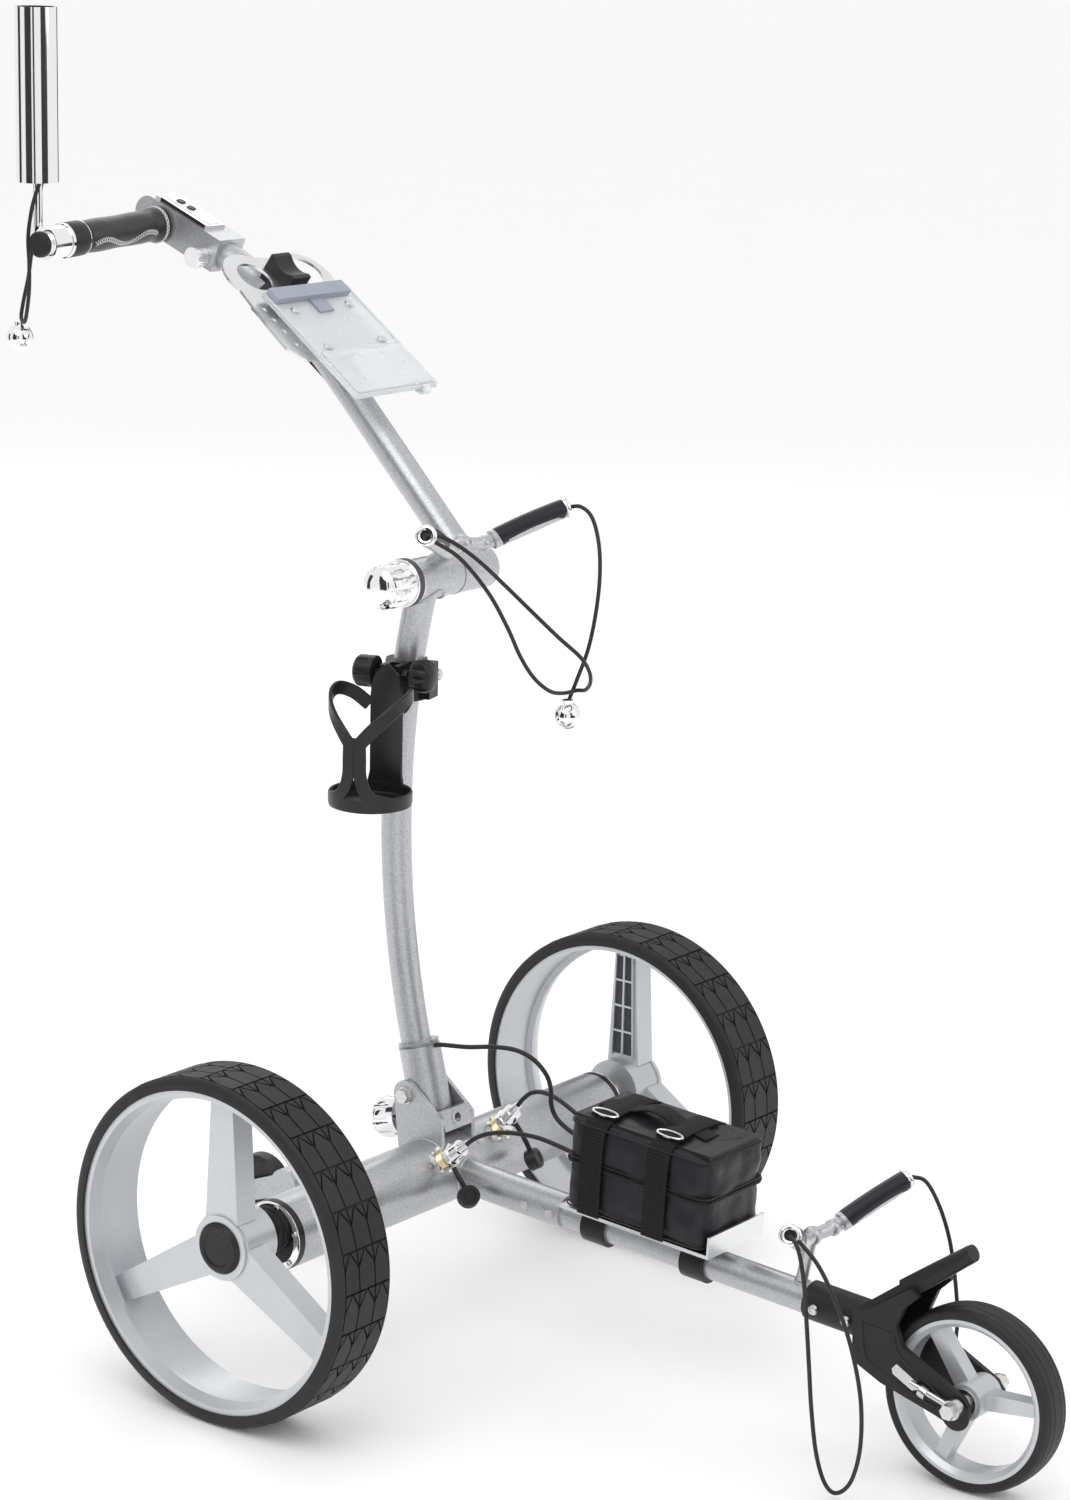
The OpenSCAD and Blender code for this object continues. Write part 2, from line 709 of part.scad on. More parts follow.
module rim(s) {
    w = tyre_w / 2;
    ri = rim_r - rim_wall;
    hub_in = -w + 4;
    hub_out = w - cap_depth - 4;
    color("silver") translate([0, s * wheel_y, 0]) scale([1, s, 1]) difference() {
        union() {
            y_turned(0, shaft_z, [[ri, -w + 2], [rim_r, -w + 2], [rim_r, w - 2], [ri - 1, w - 2], [ri - 5, w - 12],
                [ri - 5, w - 16], [ri, w - 18]]);
            y_rod(0, shaft_z, hub_in, hub_out, hub_d / 2);
            for (i = [0 : spoke_count - 1]) translate([0, 0, shaft_z]) rotate([0, i * 360 / spoke_count, 0])
                translate([0, hub_out - 2, 0]) rotate([90, 0, 0]) linear_extrude(22)
                    polygon([[-17, hub_d / 2 - 5], [17, hub_d / 2 - 5], [11, ri + 1], [-11, ri + 1]]);
        }
        y_rod(0, shaft_z, -80, 80, shaft_d / 2 + 0.02);
        y_rod(0, shaft_z, hub_out - 7, hub_out + 10, cap_d / 2 + 0.02);
    }
}

module hub_cap(s) {
    w = tyre_w / 2;
    face = w - cap_depth;
    color("black") translate([0, s * wheel_y, 0]) scale([1, s, 1])
        y_turned(0, shaft_z, [[0, face - 10], [cap_d / 2, face - 10], [cap_d / 2, face - 3], [cap_d / 2 - 3, face],
            [cap_d / 2 - 6, face], [cap_d / 2 - 8, face - 1], [0, face - 1]]);
}

module drive_shaft(s) {
    outer = wheel_y + tyre_w / 2 - cap_depth - 11.1;
    color("gainsboro") scale([1, s, 1]) y_rod(0, shaft_z, axle_len / 2 - 30, outer, shaft_d / 2);
}

// ---- front wheel ----
module front_tyre() {
    w = front_w / 2;
    r = front_d / 2;
    color("black") y_turned(wheel_base, front_z, [[r - front_tyre_t, -w], [r - 2.5, -w], [r, -w + 4], [r, w - 4],
        [r - 2.5, w], [r - front_tyre_t, w]]);
}

module front_rim() {
    w = front_w / 2;
    r = front_d / 2 - front_tyre_t;
    color("silver") difference() {
        union() {
            y_turned(wheel_base, front_z, [[r - 3, -w + 2], [r, -w + 2], [r, w - 2], [r - 3, w - 2], [r - 7, w - 6],
                [r - 7, -w + 6]]);
            y_rod(wheel_base, front_z, -w, w, 15);
            for (i = [0 : spoke_count - 1]) translate([wheel_base, 0, front_z]) rotate([0, front_spoke_turn + i * 360 / spoke_count, 0])
                translate([0, 7, 0]) rotate([90, 0, 0]) linear_extrude(14)
                    polygon([[-7, 13], [7, 13], [5.5, r - 6], [-5.5, r - 6]]);
        }
        for (s = [-1, 1]) scale([1, s, 1]) y_rod(wheel_base, front_z, w - 6 - 0.05, w + 1, bearing_d / 2 + run_gap);
        y_rod(wheel_base, front_z, -w - 1, w + 1, front_axle_d / 2 + 1);
    }
}

// ---- lower stem ----
module lower_stem_tube() {
    sweep = stem_foot_a - stem_top_a;
    color("silver") difference() {
        bent_bar(stem_cx, stem_plumb_z, 0, stem_bend_r, tube_d / 2, stem_top_a, sweep);
        bent_bar(stem_cx, stem_plumb_z, 0, stem_bend_r, tube_d / 2 - tube_wall, stem_top_a - 0.5, sweep + 1);
        y_rod(-joint_back, joint_z, -60, 60, barrel_r + 0.02);
    }
}

module stem_foot() {
    color("silver") difference() {
        translate([foot_x, 0, foot_z]) rotate([0, 180 - foot_lean, 0]) union() {
            cylinder(d = foot_d, h = foot_len);
            translate([0, 0, -4]) cylinder(d1 = foot_d, d2 = foot_d - 5, h = 4);
        }
        bent_bar(stem_cx, stem_plumb_z, 0, stem_bend_r, tube_d / 2 + 0.02, stem_top_a, stem_foot_a - stem_top_a);
        y_rod(-pivot_back, pivot_z, -30, 30, pivot_d / 2 + run_gap);
        y_rod(0, axle_z, -60, 60, axle_r + 2);
        on_stud() rod([-40, 0, 0], [60, 0, 0], stud_r + run_gap);
        // Room for the cross plate of the bracket
        translate([11, 0, axle_z + 48]) rotate([0, -16, 0]) translate([-3.2, -30, -60]) cube([40, 60, 80]);
        // The end swings past the axle tube, so it is round about the fold pin
        difference() {
            translate([-90, -30, pivot_z - 90]) cube([140, 60, 80]);
            y_rod(-pivot_back, pivot_z, -31, 31, swing_r);
        }
    }
}

module lower_barrel() {
    color("silver") difference() {
        y_rod(-joint_back, joint_z, near_end, joint_y, barrel_r);
        y_rod(-joint_back, joint_z, near_end - 1, joint_y + 1, joint_bolt_d / 2 + run_gap);
    }
}

module joint_knob() {
    color("gainsboro") {
        translate([-joint_back, near_end - washer_t, joint_z]) rotate([90, 0, 0]) lobed_knob(knob_d, joint_knob_len, 8);
        y_rod(-joint_back, joint_z, near_end - washer_t, far_end, joint_bolt_d / 2);
        translate([-joint_back, far_end, joint_z]) rotate([-90, 0, 0]) cylinder(d = 17, h = 6, $fn = 6);
    }
    color("black") difference() {
        y_rod(-joint_back, joint_z, near_end - washer_t + 0.05, near_end - 0.05, knob_d / 2 + 1.5);
        y_rod(-joint_back, joint_z, near_end - washer_t - 1, near_end, joint_bolt_d / 2 + 0.05);
    }
}

// ---- bottle holder ----

module bottle_clamp() {
    color("black") on_cage() difference() {
        union() {
            cylinder(r = band_r, h = band_h, center = true);
            translate([0, -9, -5]) cube([cage_reach - 1, 18, 22]);
            // Boss of the clamp screw
            translate([-9, 8, -15]) cube([18, 17, 30]);
        }
        // The clamp closes round the leaning stem
        rotate([0, 0, 90 - cage_turn]) translate([-stem_x(cage_z), 0, -cage_z])
            bent_bar(stem_cx, stem_plumb_z, 0, stem_bend_r, tube_d / 2 + 0.02, stem_top_a, stem_foot_a - stem_top_a);
        translate([-30, -1, -band_h]) cube([20, 2, 2 * band_h]);
        translate([lug_x, 0, lug_z]) rotate([90, 0, 0]) cylinder(r = 3 + run_gap, h = 60, center = true);
        // Slot for the lug of the cage
        translate([cage_reach - 15, -4 - part_gap, -20]) cube([30, 8 + 2 * part_gap, 40]);
    }
}

module bottle_cage() {
    ri = bottle_d / 2;
    wall = 3;
    cx = cage_reach + 4 + ri;
    cage_base = cage_top + 8 - cage_h;
    color("black") on_cage() {
        difference() {
            union() {
                // Back plate with a rounded top, and its lug
                translate([cage_reach + 1, -cage_half, cage_base]) cube([wall, 2 * cage_half, cage_h - cage_half]);
                translate([cage_reach + 1, 0, cage_top - cage_half + 8]) rotate([0, 90, 0])
                    cylinder(r = cage_half, h = wall);
                translate([lug_x, 0, lug_z]) rotate([90, 0, 0]) cylinder(r = 6, h = 8, center = true);
                translate([lug_x, -4, lug_z - 6]) cube([10, 8, 12]);
            }
            translate([lug_x, 0, lug_z]) rotate([90, 0, 0]) cylinder(r = 3 + run_gap, h = 60, center = true);
        }
        // Base ring, base bar and the upper loop with its front strut
        translate([cx, 0, cage_base]) difference() {
            cylinder(r = ri + wall, h = 16);
            translate([0, 0, 3]) cylinder(r = ri, h = 20);
            translate([0, 0, -1]) cylinder(r = ri - 10, h = 20);
        }
        difference() {
            translate([cx, 0, -22]) cylinder(r = ri + wall, h = 9);
            translate([cx, 0, -30]) cylinder(r = ri, h = 30);
        }
        intersection() {
            difference() {
                translate([cx, 0, cage_base]) cylinder(r = ri + wall, h = -13 - cage_base);
                translate([cx, 0, cage_base - 8]) cylinder(r = ri, h = cage_h);
            }
            translate([cx + 10, -9, -cage_h]) cube([60, 18, cage_h]);
        }
    }
}

module bottle_knob() {
    color("black") on_cage() translate([lug_x, 0, lug_z]) {
        translate([0, -cage_half - part_gap, 0]) rotate([90, 0, 0]) lobed_knob(27, 20, 7);
        y_rod(0, 0, -cage_half - part_gap, 14, 3);
        translate([0, 9.2, 0]) rotate([-90, 0, 0]) cylinder(d = 10, h = 5, $fn = 6);
    }
}

// ---- upper stem ----
module upper_bar(r, extra) {
    translate([0, upper_y, 0]) {
        rod([-joint_back, 0, joint_z], [bend_x, 0, bend_z], r);
    }
    bent_bar(arc_cx, arc_cz, upper_y, upper_bend_r, r, 90 - upper_rise, upper_bend + extra);
}

module upper_stem_tube() {
    color("silver") difference() {
        upper_bar(tube_d / 2, 0);
        upper_bar(tube_d / 2 - tube_wall, 1);
        y_rod(-joint_back, joint_z, upper_y - 60, upper_y + 60, barrel_r + 0.02);
        on_head() {
            y_rod(dial_at[0], dial_at[1], -30, 0, 3.2);
            translate([-30, -30, -30]) cube([panel_x[1] + 30.3, 60, 60]);
        }
    }
}

module upper_barrel() {
    color("silver") difference() {
        y_rod(-joint_back, joint_z, joint_y + part_gap, far_end, barrel_r);
        y_rod(-joint_back, joint_z, joint_y - 1, far_end + 1, joint_bolt_d / 2 + run_gap);
    }
}

module head_outline(grow) {
    r = head_h / 2 + grow;
    translate([0, 0]) circle(r);
    translate([0, -r]) square([head_len + head_lap + grow, 2 * r]);
}

module controller_housing() {
    w = head_w / 2;
    color("silver") difference() {
        on_head() xz_plate(-w, w) head_outline(0);
        // Room for the control board, short of the tube's end
        on_head() intersection() {
            xz_plate(-w + head_wall, w - head_wall) head_outline(-head_wall);
            translate([-30, -30, -30]) cube([head_len + 26, 60, 60]);
        }
        upper_bar(tube_d / 2 + 0.02, 0);
        on_head() {
            translate([panel_x[0] - 0.02, -12.02, panel_low]) cube([panel_x[1] + 0.04, 24.04, 20]);
            for (x = button_xs) translate([x, 0, panel_low - 3]) cylinder(r = button_r + part_gap, h = 10);
            y_rod(dial_at[0], dial_at[1], -30, 0, 3.2);
        }
        on_grip() translate([0, 0, -2]) cylinder(d = grip_tube_d, h = 6);
    }
}

module control_panel() {
    color("gainsboro") on_head() {
        difference() {
            translate([panel_x[0], -12, panel_low]) cube([panel_x[1], 24, 7]);
            for (x = button_xs) translate([x, 0, 0]) cylinder(r = button_r + part_gap, h = 40);
        }
        // Stud on the rounded end of the head
        rod([-head_h / 2 - 4, 0, 0], [-head_h / 2, 0, 0], 2.5);
    }
}

module push_button(i) {
    color("black") on_head() translate([button_xs[i], 0, panel_low - 1]) {
        cylinder(r = button_r, h = 9);
        translate([0, 0, 9]) cylinder(r1 = button_r, r2 = button_r - 1, h = 0.8);
    }
}

module speed_dial() {
    w = head_w / 2;
    color("gainsboro") on_head() {
        y_rod(dial_at[0], dial_at[1], -w - part_gap - 13, -w - part_gap, dial_r);
        y_rod(dial_at[0], dial_at[1], -w - part_gap, -w + 8, 3);
    }
}

// ---- card holder ----

module card_saddle() {
    color("black") difference() {
        on_card() union() {
            translate([-104, -9, -42]) cube([112, 18, 42 - plate_drop - 2.55]);
            translate([-104, -11, -12]) cube([32, 22, 18]);
            translate([-92, 0, -30]) rotate([0, 90, 0]) cylinder(r = 21, h = 14);
        }
        upper_bar(tube_d / 2 + 0.02, 0);
        // Hollow top of the block
        on_card() translate([-88, 0, 22]) rotate([90, 0, 0]) cylinder(r = 20, h = 30, center = true);
    }
}

module card_plate() {
    color("gainsboro") on_card() translate([0, 0, -plate_drop - 2.5]) difference() {
        linear_extrude(2.5) union() {
            translate([-91, -34]) circle(31);
            translate([-88, 30]) circle(29);
            polygon([[-116, -14], [-112, 14], [-76, 57], [10, 60], [10, -60], [-6, -71], [-36, -69], [-80, -63]]);
        }
        // Finger openings at the head end and tee holes along one side
        for (s = [-1, 1]) translate([-93, s * 33, -1]) cylinder(r = 17, h = 5);
        for (x = [-54, -40, -26, -9]) translate([x, -57, -1]) cylinder(r = 2.8, h = 5);
        translate([-104.3, -11.3, -1]) cube([32.6, 22.6, 6]);
    }
}

module card_board() {
    color("white") on_card() {
        translate([-board_len / 2, -board_w / 2, -board_t]) cube([board_len, board_w, board_t]);
        // Stand-offs and the pocket at the lower end
        for (x = [-40, 6]) for (y = [-35, 35]) translate([x, y, -plate_drop]) cylinder(r = 4, h = plate_drop - board_t);
        translate([board_len / 2 - 52, -board_w / 2 + 3, 0]) cube([50, board_w - 6, 1.5]);
    }
}

module card_clip() {
    color("darkgray") on_card() translate([-board_len / 2 + 8, 0, part_gap]) {
        translate([-7, -board_w / 2 + 2, 0]) cube([14, board_w - 12, 6]);
        translate([7, -9, 0]) cube([16, 18, 2]);
    }
}

// ---- grip and umbrella holder ----
module grip_tube() {
    color("gainsboro") on_grip() {
        cylinder(d = grip_tube_d, h = sleeve_start + sleeve_len + 1);
        // Collar with its band clamp
        translate([0, 0, 2 + grip_len]) cylinder(d = grip_d + 2, h = collar_len);
        // End cap
        translate([0, 0, sleeve_start + sleeve_len + 1]) cylinder(d = 21, h = end_cap_len - 1);
    }
}

module leather_grip() {
    color("black") on_grip() translate([0, 0, 1]) difference() {
        cylinder(d1 = grip_d - 2, d2 = grip_d + 1, h = grip_len + 0.9);
        translate([0, 0, -1]) cylinder(d = grip_tube_d + 0.02, h = grip_len + 5);
    }
}

module umbrella_mount() {
    color("gainsboro") difference() {
        union() {
            on_grip() {
                translate([0, 0, sleeve_start + part_gap]) cylinder(d = 28, h = sleeve_len - 2 * part_gap);
            }
            translate([grip_x - umbrella_back - 6, umbrella_y - 7, umbrella_block_z()]) cube([22, 14, 13]);
            rod([grip_x - umbrella_back, umbrella_y, umbrella_block_z() + 10],
                [grip_x - umbrella_back, umbrella_y, umbrella_z], rod_d / 2);
        }
        on_grip() translate([0, 0, sleeve_start - 40]) cylinder(d = grip_tube_d + 2 * run_gap, h = 90);
    }
}

function umbrella_block_z() = grip_z - (sleeve_start + sleeve_len / 2) * sin(grip_droop);

module umbrella_tube() {
    color("gainsboro") translate([grip_x - umbrella_back, umbrella_y, umbrella_z]) difference() {
        cylinder(d = umbrella_d, h = umbrella_len);
        translate([0, 0, 4]) cylinder(r = umbrella_d / 2 - umbrella_wall, h = umbrella_len);
    }
}

// ---- elastic cords and their balls ----
module ball_at(p) {
    translate(p) {
        sphere(d = ball_d);
        cylinder(d = 9, h = ball_d / 2 + 2);
    }
}

module handle_cord() { color("black") cord(handle_route, cord_d); }
module handle_ball() { color("gainsboro") ball_at([-410, -89, 819]); }

module upper_cords() {
    color("black") {
        cord(upper_near_route, cord_d);
        cord(upper_far_route, cord_d);
    }
}

module upper_ball() { color("gainsboro") ball_at([86, 48, 540]); }

module lower_cords() {
    color("black") {
        cord(lower_near_route, cord_d);
        cord(lower_far_route, cord_d);
    }
}

module lower_ball() { color("gainsboro") ball_at([462, 90, 52]); }
module stem_cable() { color("black") cord(stem_cable_route, cable_d); }

axle_tube();
hinge_bracket();
pivot_bolt();
base_knob();
beam_tube();
frame_screws();
drive_motors();
power_sockets();
cable_plugs();
power_cables();
battery_tray();
tray_clamps();
battery_bag();
battery_pack();
lower_cradle();
front_fork();
tracking_adjusters();
front_axle();
antitip_bar();
antitip_wheel();
tyre(1);  // left_tyre
rim(1);  // left_rim
hub_cap(1);  // left_hub_cap
drive_shaft(1);  // left_drive_shaft
tyre(-1);  // right_tyre
rim(-1);  // right_rim
hub_cap(-1);  // right_hub_cap
drive_shaft(-1);  // right_drive_shaft
front_tyre();
front_rim();
lower_stem_tube();
stem_foot();
lower_barrel();
joint_knob();
upper_cradle();
bottle_clamp();
bottle_cage();
bottle_knob();
upper_stem_tube();
upper_barrel();
controller_housing();
control_panel();
push_button(1);  // front_button
push_button(0);  // rear_button
speed_dial();
card_saddle();
card_plate();
card_board();
card_clip();
grip_tube();
leather_grip();
umbrella_mount();
umbrella_tube();
handle_cord();
handle_ball();
upper_cords();
upper_ball();
lower_cords();
lower_ball();
stem_cable();
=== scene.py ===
import bpy
import bmesh
import json
import math
from math import cos, pi, radians, sin, sqrt
from mathutils import Matrix, Vector, noise


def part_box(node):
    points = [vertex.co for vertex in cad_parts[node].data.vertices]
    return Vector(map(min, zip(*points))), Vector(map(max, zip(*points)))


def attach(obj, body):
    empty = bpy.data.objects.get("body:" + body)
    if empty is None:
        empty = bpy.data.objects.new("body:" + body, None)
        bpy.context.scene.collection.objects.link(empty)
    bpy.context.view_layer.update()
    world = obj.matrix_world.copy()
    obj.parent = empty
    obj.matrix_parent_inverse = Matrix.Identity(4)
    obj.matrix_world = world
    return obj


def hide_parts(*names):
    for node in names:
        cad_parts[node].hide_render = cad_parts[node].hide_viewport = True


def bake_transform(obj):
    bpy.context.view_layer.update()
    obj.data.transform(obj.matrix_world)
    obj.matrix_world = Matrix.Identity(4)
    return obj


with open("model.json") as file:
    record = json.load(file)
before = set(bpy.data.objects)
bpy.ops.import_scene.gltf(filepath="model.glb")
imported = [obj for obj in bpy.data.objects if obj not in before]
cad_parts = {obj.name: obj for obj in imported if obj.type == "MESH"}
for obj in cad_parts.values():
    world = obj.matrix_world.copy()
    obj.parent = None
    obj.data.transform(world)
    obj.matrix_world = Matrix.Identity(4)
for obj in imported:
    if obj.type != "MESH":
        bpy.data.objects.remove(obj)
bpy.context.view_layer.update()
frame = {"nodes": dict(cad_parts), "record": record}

bl_info = {
    "name": "Electric golf trolley",
    "version": (1, 0, 0),
    "blender": (4, 5, 0),
    "location": "3D View > Sidebar > Trolley",
    "description": "Finishes, soft goods and fittings of an electric golf trolley",
    "category": "Object",
}

MM = 0.001


# ---- places on the trolley -------------------------------------------------
def place(x, y, z, axis="Y", degrees=0.0):
    """A frame at a point in millimetres, turned about one axis."""
    return Matrix.Translation((x, y, z)) @ Matrix.Rotation(radians(degrees), 4, axis)


def middle(node):
    """The middle of a CAD node's box, in millimetres."""
    low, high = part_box(node)
    return tuple(500 * (a + b) for a, b in zip(low, high))


BEAM = place(0, 0, 137, "Y", 3.2)
HEAD = place(-384.0, 60, 918.87, "Y", 21.5)
CARD = place(-163, 60, 828, "Y", 36)
CAGE = place(-47.37, 0, 560, "Z", -74)
GRIP = place(-370.216, 43.5, 910.217, "X", 93)
STUD = place(-18.02, 0, 181.14, "Y", -16)
JOINT = Vector((-29, 0, 647))
STEM_ARC = (731.0, 441.0, 788.0)


def stem_x(z):
    """Where the middle of the lower stem stands at a height."""
    return STEM_ARC[0] - sqrt(STEM_ARC[2] ** 2 - (z - STEM_ARC[1]) ** 2)


# ---- shapes, in millimetres until they are made ------------------------------
def lathe(profile, steps=64, at=Matrix(), sweep=2 * pi):
    """A solid of revolution about Z; the profile is a closed outline of (radius, z)."""
    verts, faces, rings = [], [], []
    for r, z in profile:
        if r < 1e-6:
            rings.append([len(verts)] * steps)
            verts.append(at @ Vector((0, 0, z)))
            continue
        rings.append(list(range(len(verts), len(verts) + steps)))
        for k in range(steps):
            a = sweep * k / steps
            verts.append(at @ Vector((r * cos(a), r * sin(a), z)))
    n = len(profile)
    for i in range(n):
        a, b = rings[i], rings[(i + 1) % n]
        for k in range(steps):
            m = (k + 1) % steps
            face = []
            for v in (a[k], a[m], b[m], b[k]):
                if v not in face:
                    face.append(v)
            if len(face) > 2:
                faces.append(face)
    return verts, faces, None


def frames_along(points, closed=False, up=None):
    """The direction and the side vector at each point of a path, without twist."""
    n, out, side = len(points), [], None
    for i in range(n):
        if closed:
            d = points[(i + 1) % n] - points[i - 1]
        else:
            d = points[min(i + 1, n - 1)] - points[max(i - 1, 0)]
        d = d.normalized()
        if up is not None:
            side = Vector(up).cross(d).normalized()
        else:
            if side is None:
                side = d.orthogonal()
            side = (side - d * side.dot(d)).normalized()
        out.append((d, side))
    return out


def sweep(points, section, closed=False, up=None, at=Matrix(), scales=None):
    """A section of (side, up) points carried along a path; open ends are capped."""
    points = [Vector(p) for p in points]
    n, m = len(points), len(section)
    verts, faces, uvs = [], [], []
    run, lengths = 0.0, []
    for i in range(n):
        if i:
            run += (points[i] - points[i - 1]).length
        lengths.append(run)
    for i, (d, side) in enumerate(frames_along(points, closed, up)):
        lift = d.cross(side)
        k = scales[i] if scales else 1.0
        for u, w in section:
            verts.append(at @ (points[i] + side * (u * k) + lift * (w * k)))
    spans = n if closed else n - 1
    for i in range(spans):
        for j in range(m):
            a, b = i * m, ((i + 1) % n) * m
            q = (j + 1) % m
            faces.append([a + j, a + q, b + q, b + j])
            v0 = lengths[i]
            v1 = lengths[i + 1] if i + 1 < n else run + (points[0] - points[-1]).length
            uvs.append([(j / m, v0 * MM), ((j + 1) / m, v0 * MM), ((j + 1) / m, v1 * MM), (j / m, v1 * MM)])
    if not closed:
        faces.append(list(range(m))[::-1])
        uvs.append([(0.5, 0)] * m)
        faces.append([(n - 1) * m + j for j in range(m)])
        uvs.append([(0.5, run * MM)] * m)
    return verts, faces, uvs


def circle(r, sides=12):
    """A round section."""
    return [(r * cos(2 * pi * k / sides), r * sin(2 * pi * k / sides)) for k in range(sides)]


def strip(w, t, r=0.4):
    """A flat section w wide and t thick with broken corners."""
    a, b = w / 2, t / 2
    r = min(r, b * 0.9)
    return [(a, b - r), (a - r, b), (-a + r, b), (-a, b - r), (-a, -b + r), (-a + r, -b), (a - r, -b), (a, -b + r)]


def smooth_path(points, per=8):
    """A Catmull-Rom line through given points."""
    p = [Vector(q) for q in points]
    p = [2 * p[0] - p[1]] + p + [2 * p[-1] - p[-2]]
    out = []
    for i in range(1, len(p) - 2):
        for k in range(per):
            t = k / per
            a, b, c, d = p[i - 1], p[i], p[i + 1], p[i + 2]
            out.append(0.5 * (2 * b + (c - a) * t + (2 * a - 5 * b + 4 * c - d) * t * t
                              + (3 * b - a - 3 * c + d) * t ** 3))
    out.append(p[-2])
    return out


def slab(outline, t0, t1, at=Matrix()):
    """A flat outline of (x, y) raised from t0 to t1 along Z."""
    n = len(outline)
    verts = [at @ Vector((x, y, t0)) for x, y in outline] + [at @ Vector((x, y, t1)) for x, y in outline]
    faces = [[i, (i + 1) % n, n + (i + 1) % n, n + i] for i in range(n)]
    faces += [list(range(n))[::-1], list(range(n, 2 * n))]
    return verts, faces, None


def block(x0, x1, y0, y1, z0, z1, at=Matrix()):
    """A rectangular slab between two corners."""
    return slab([(x0, y0), (x1, y0), (x1, y1), (x0, y1)], z0, z1, at)


def hexagon(r):
    """A hexagon outline."""
    return [(r * cos(pi * k / 3), r * sin(pi * k / 3)) for k in range(6)]


def rounded(w, h, r, steps=5):
    """A rectangle outline with round corners."""
    out = []
    for cx, cy, a0 in ((w / 2 - r, h / 2 - r, 0), (-w / 2 + r, h / 2 - r, 90), (-w / 2 + r, -h / 2 + r, 180),
                       (w / 2 - r, -h / 2 + r, 270)):
        for k in range(steps + 1):
            a = radians(a0 + 90 * k / steps)
            out.append((cx + r * cos(a), cy + r * sin(a)))
    return out


def fluted(r, h, lobes, depth, at, steps=8):
    """A lobed knob along Z with a domed end and concave flutes."""
    around = lobes * steps
    profile = [(0.0, 0.0), (0.80, 0.0), (0.88, 0.02), (0.93, 0.10), (0.97, 0.25), (1.0, 0.45), (0.99, 0.62),
               (0.93, 0.76), (0.82, 0.87), (0.62, 0.95), (0.34, 0.99), (0.0, 1.0)]
    verts, faces, rings = [], [], []
    for pr, pz in profile:
        if pr == 0:
            rings.append([len(verts)] * around)
            verts.append(at @ Vector((0, 0, pz * h)))
            continue
        rings.append(list(range(len(verts), len(verts) + around)))
        along = max(0.0, min(1.0, (0.86 - pz) / 0.22)) * max(0.0, min(1.0, (pz - 0.02) / 0.14))
        for k in range(around):
            a = 2 * pi * k / around
            scoop = max(0.0, cos(lobes * a)) ** 1.6 * depth * along
            verts.append(at @ Vector(((pr * r - scoop) * cos(a), (pr * r - scoop) * sin(a), pz * h)))
    for i in range(len(profile) - 1):
        for k in range(around):
            m = (k + 1) % around
            face = []
            for v in (rings[i][k], rings[i][m], rings[i + 1][m], rings[i + 1][k]):
                if v not in face:
                    face.append(v)
            faces.append(face)
    return verts, faces, None


# ---- making pieces -----------------------------------------------------------
def make(name, parts, finish, body=None, stands_for=(), angle=38, bevel=0.0, subdivide=0, outward=True):
    """One finished piece from one or more shapes, in metres, riding on a body."""
    verts, faces, uvs, has_uv = [], [], [], False
    for v, f, uv in parts:
        base = len(verts)
        verts += [p * MM for p in v]
        faces += [[base + i for i in face] for face in f]
        uvs += uv if uv else [[(0.0, 0.0)] * len(face) for face in f]
        has_uv = has_uv or uv is not None
    mesh = bpy.data.meshes.new(name)
    mesh.from_pydata(verts, [], faces)
    if has_uv:
        layer = mesh.uv_layers.new(name="UVMap")
        flat = [c for face in uvs for pair in face for c in pair]
        layer.data.foreach_set("uv", flat)
    if outward:
        bm = bmesh.new()
        bm.from_mesh(mesh)
        bmesh.ops.recalc_face_normals(bm, faces=bm.faces)
        bm.to_mesh(mesh)
        bm.free()
    mesh.shade_smooth()
    mesh.set_sharp_from_angle(angle=radians(angle))
    mesh.materials.append(finish)
    obj = bpy.data.objects.new(name, mesh)
    bpy.context.scene.collection.objects.link(obj)
    if bevel:
        mod = obj.modifiers.new("Edges", "BEVEL")
        mod.width, mod.segments, mod.limit_method, mod.angle_limit = bevel * MM, 2, "ANGLE", radians(40)
    if subdivide:
        mod = obj.modifiers.new("Smooth", "SUBSURF")
        mod.levels = mod.render_levels = subdivide
    if body:
        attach(obj, body)
        if stands_for:
            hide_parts(*stands_for)
    return obj


def drop(obj):
    """Removes a helper object."""
    bpy.data.objects.remove(obj, do_unlink=True)


# ---- geometry nodes ------------------------------------------------------------
def new_tree(name, inputs):
    """A geometry node tree with a geometry input, named inputs and a geometry output."""
    tree = bpy.data.node_groups.new(name, "GeometryNodeTree")
    tree.interface.new_socket("Geometry", in_out="INPUT", socket_type="NodeSocketGeometry")
    for label, kind, default in inputs:
        socket = tree.interface.new_socket(label, in_out="INPUT", socket_type=kind)
        if default is not None:
            socket.default_value = default
    tree.interface.new_socket("Geometry", in_out="OUTPUT", socket_type="NodeSocketGeometry")
    return tree, tree.nodes.new("NodeGroupInput"), tree.nodes.new("NodeGroupOutput")


def link(tree, a, out, b, into):
    """One wire between two nodes."""
    tree.links.new(a.outputs[out], b.inputs[into])


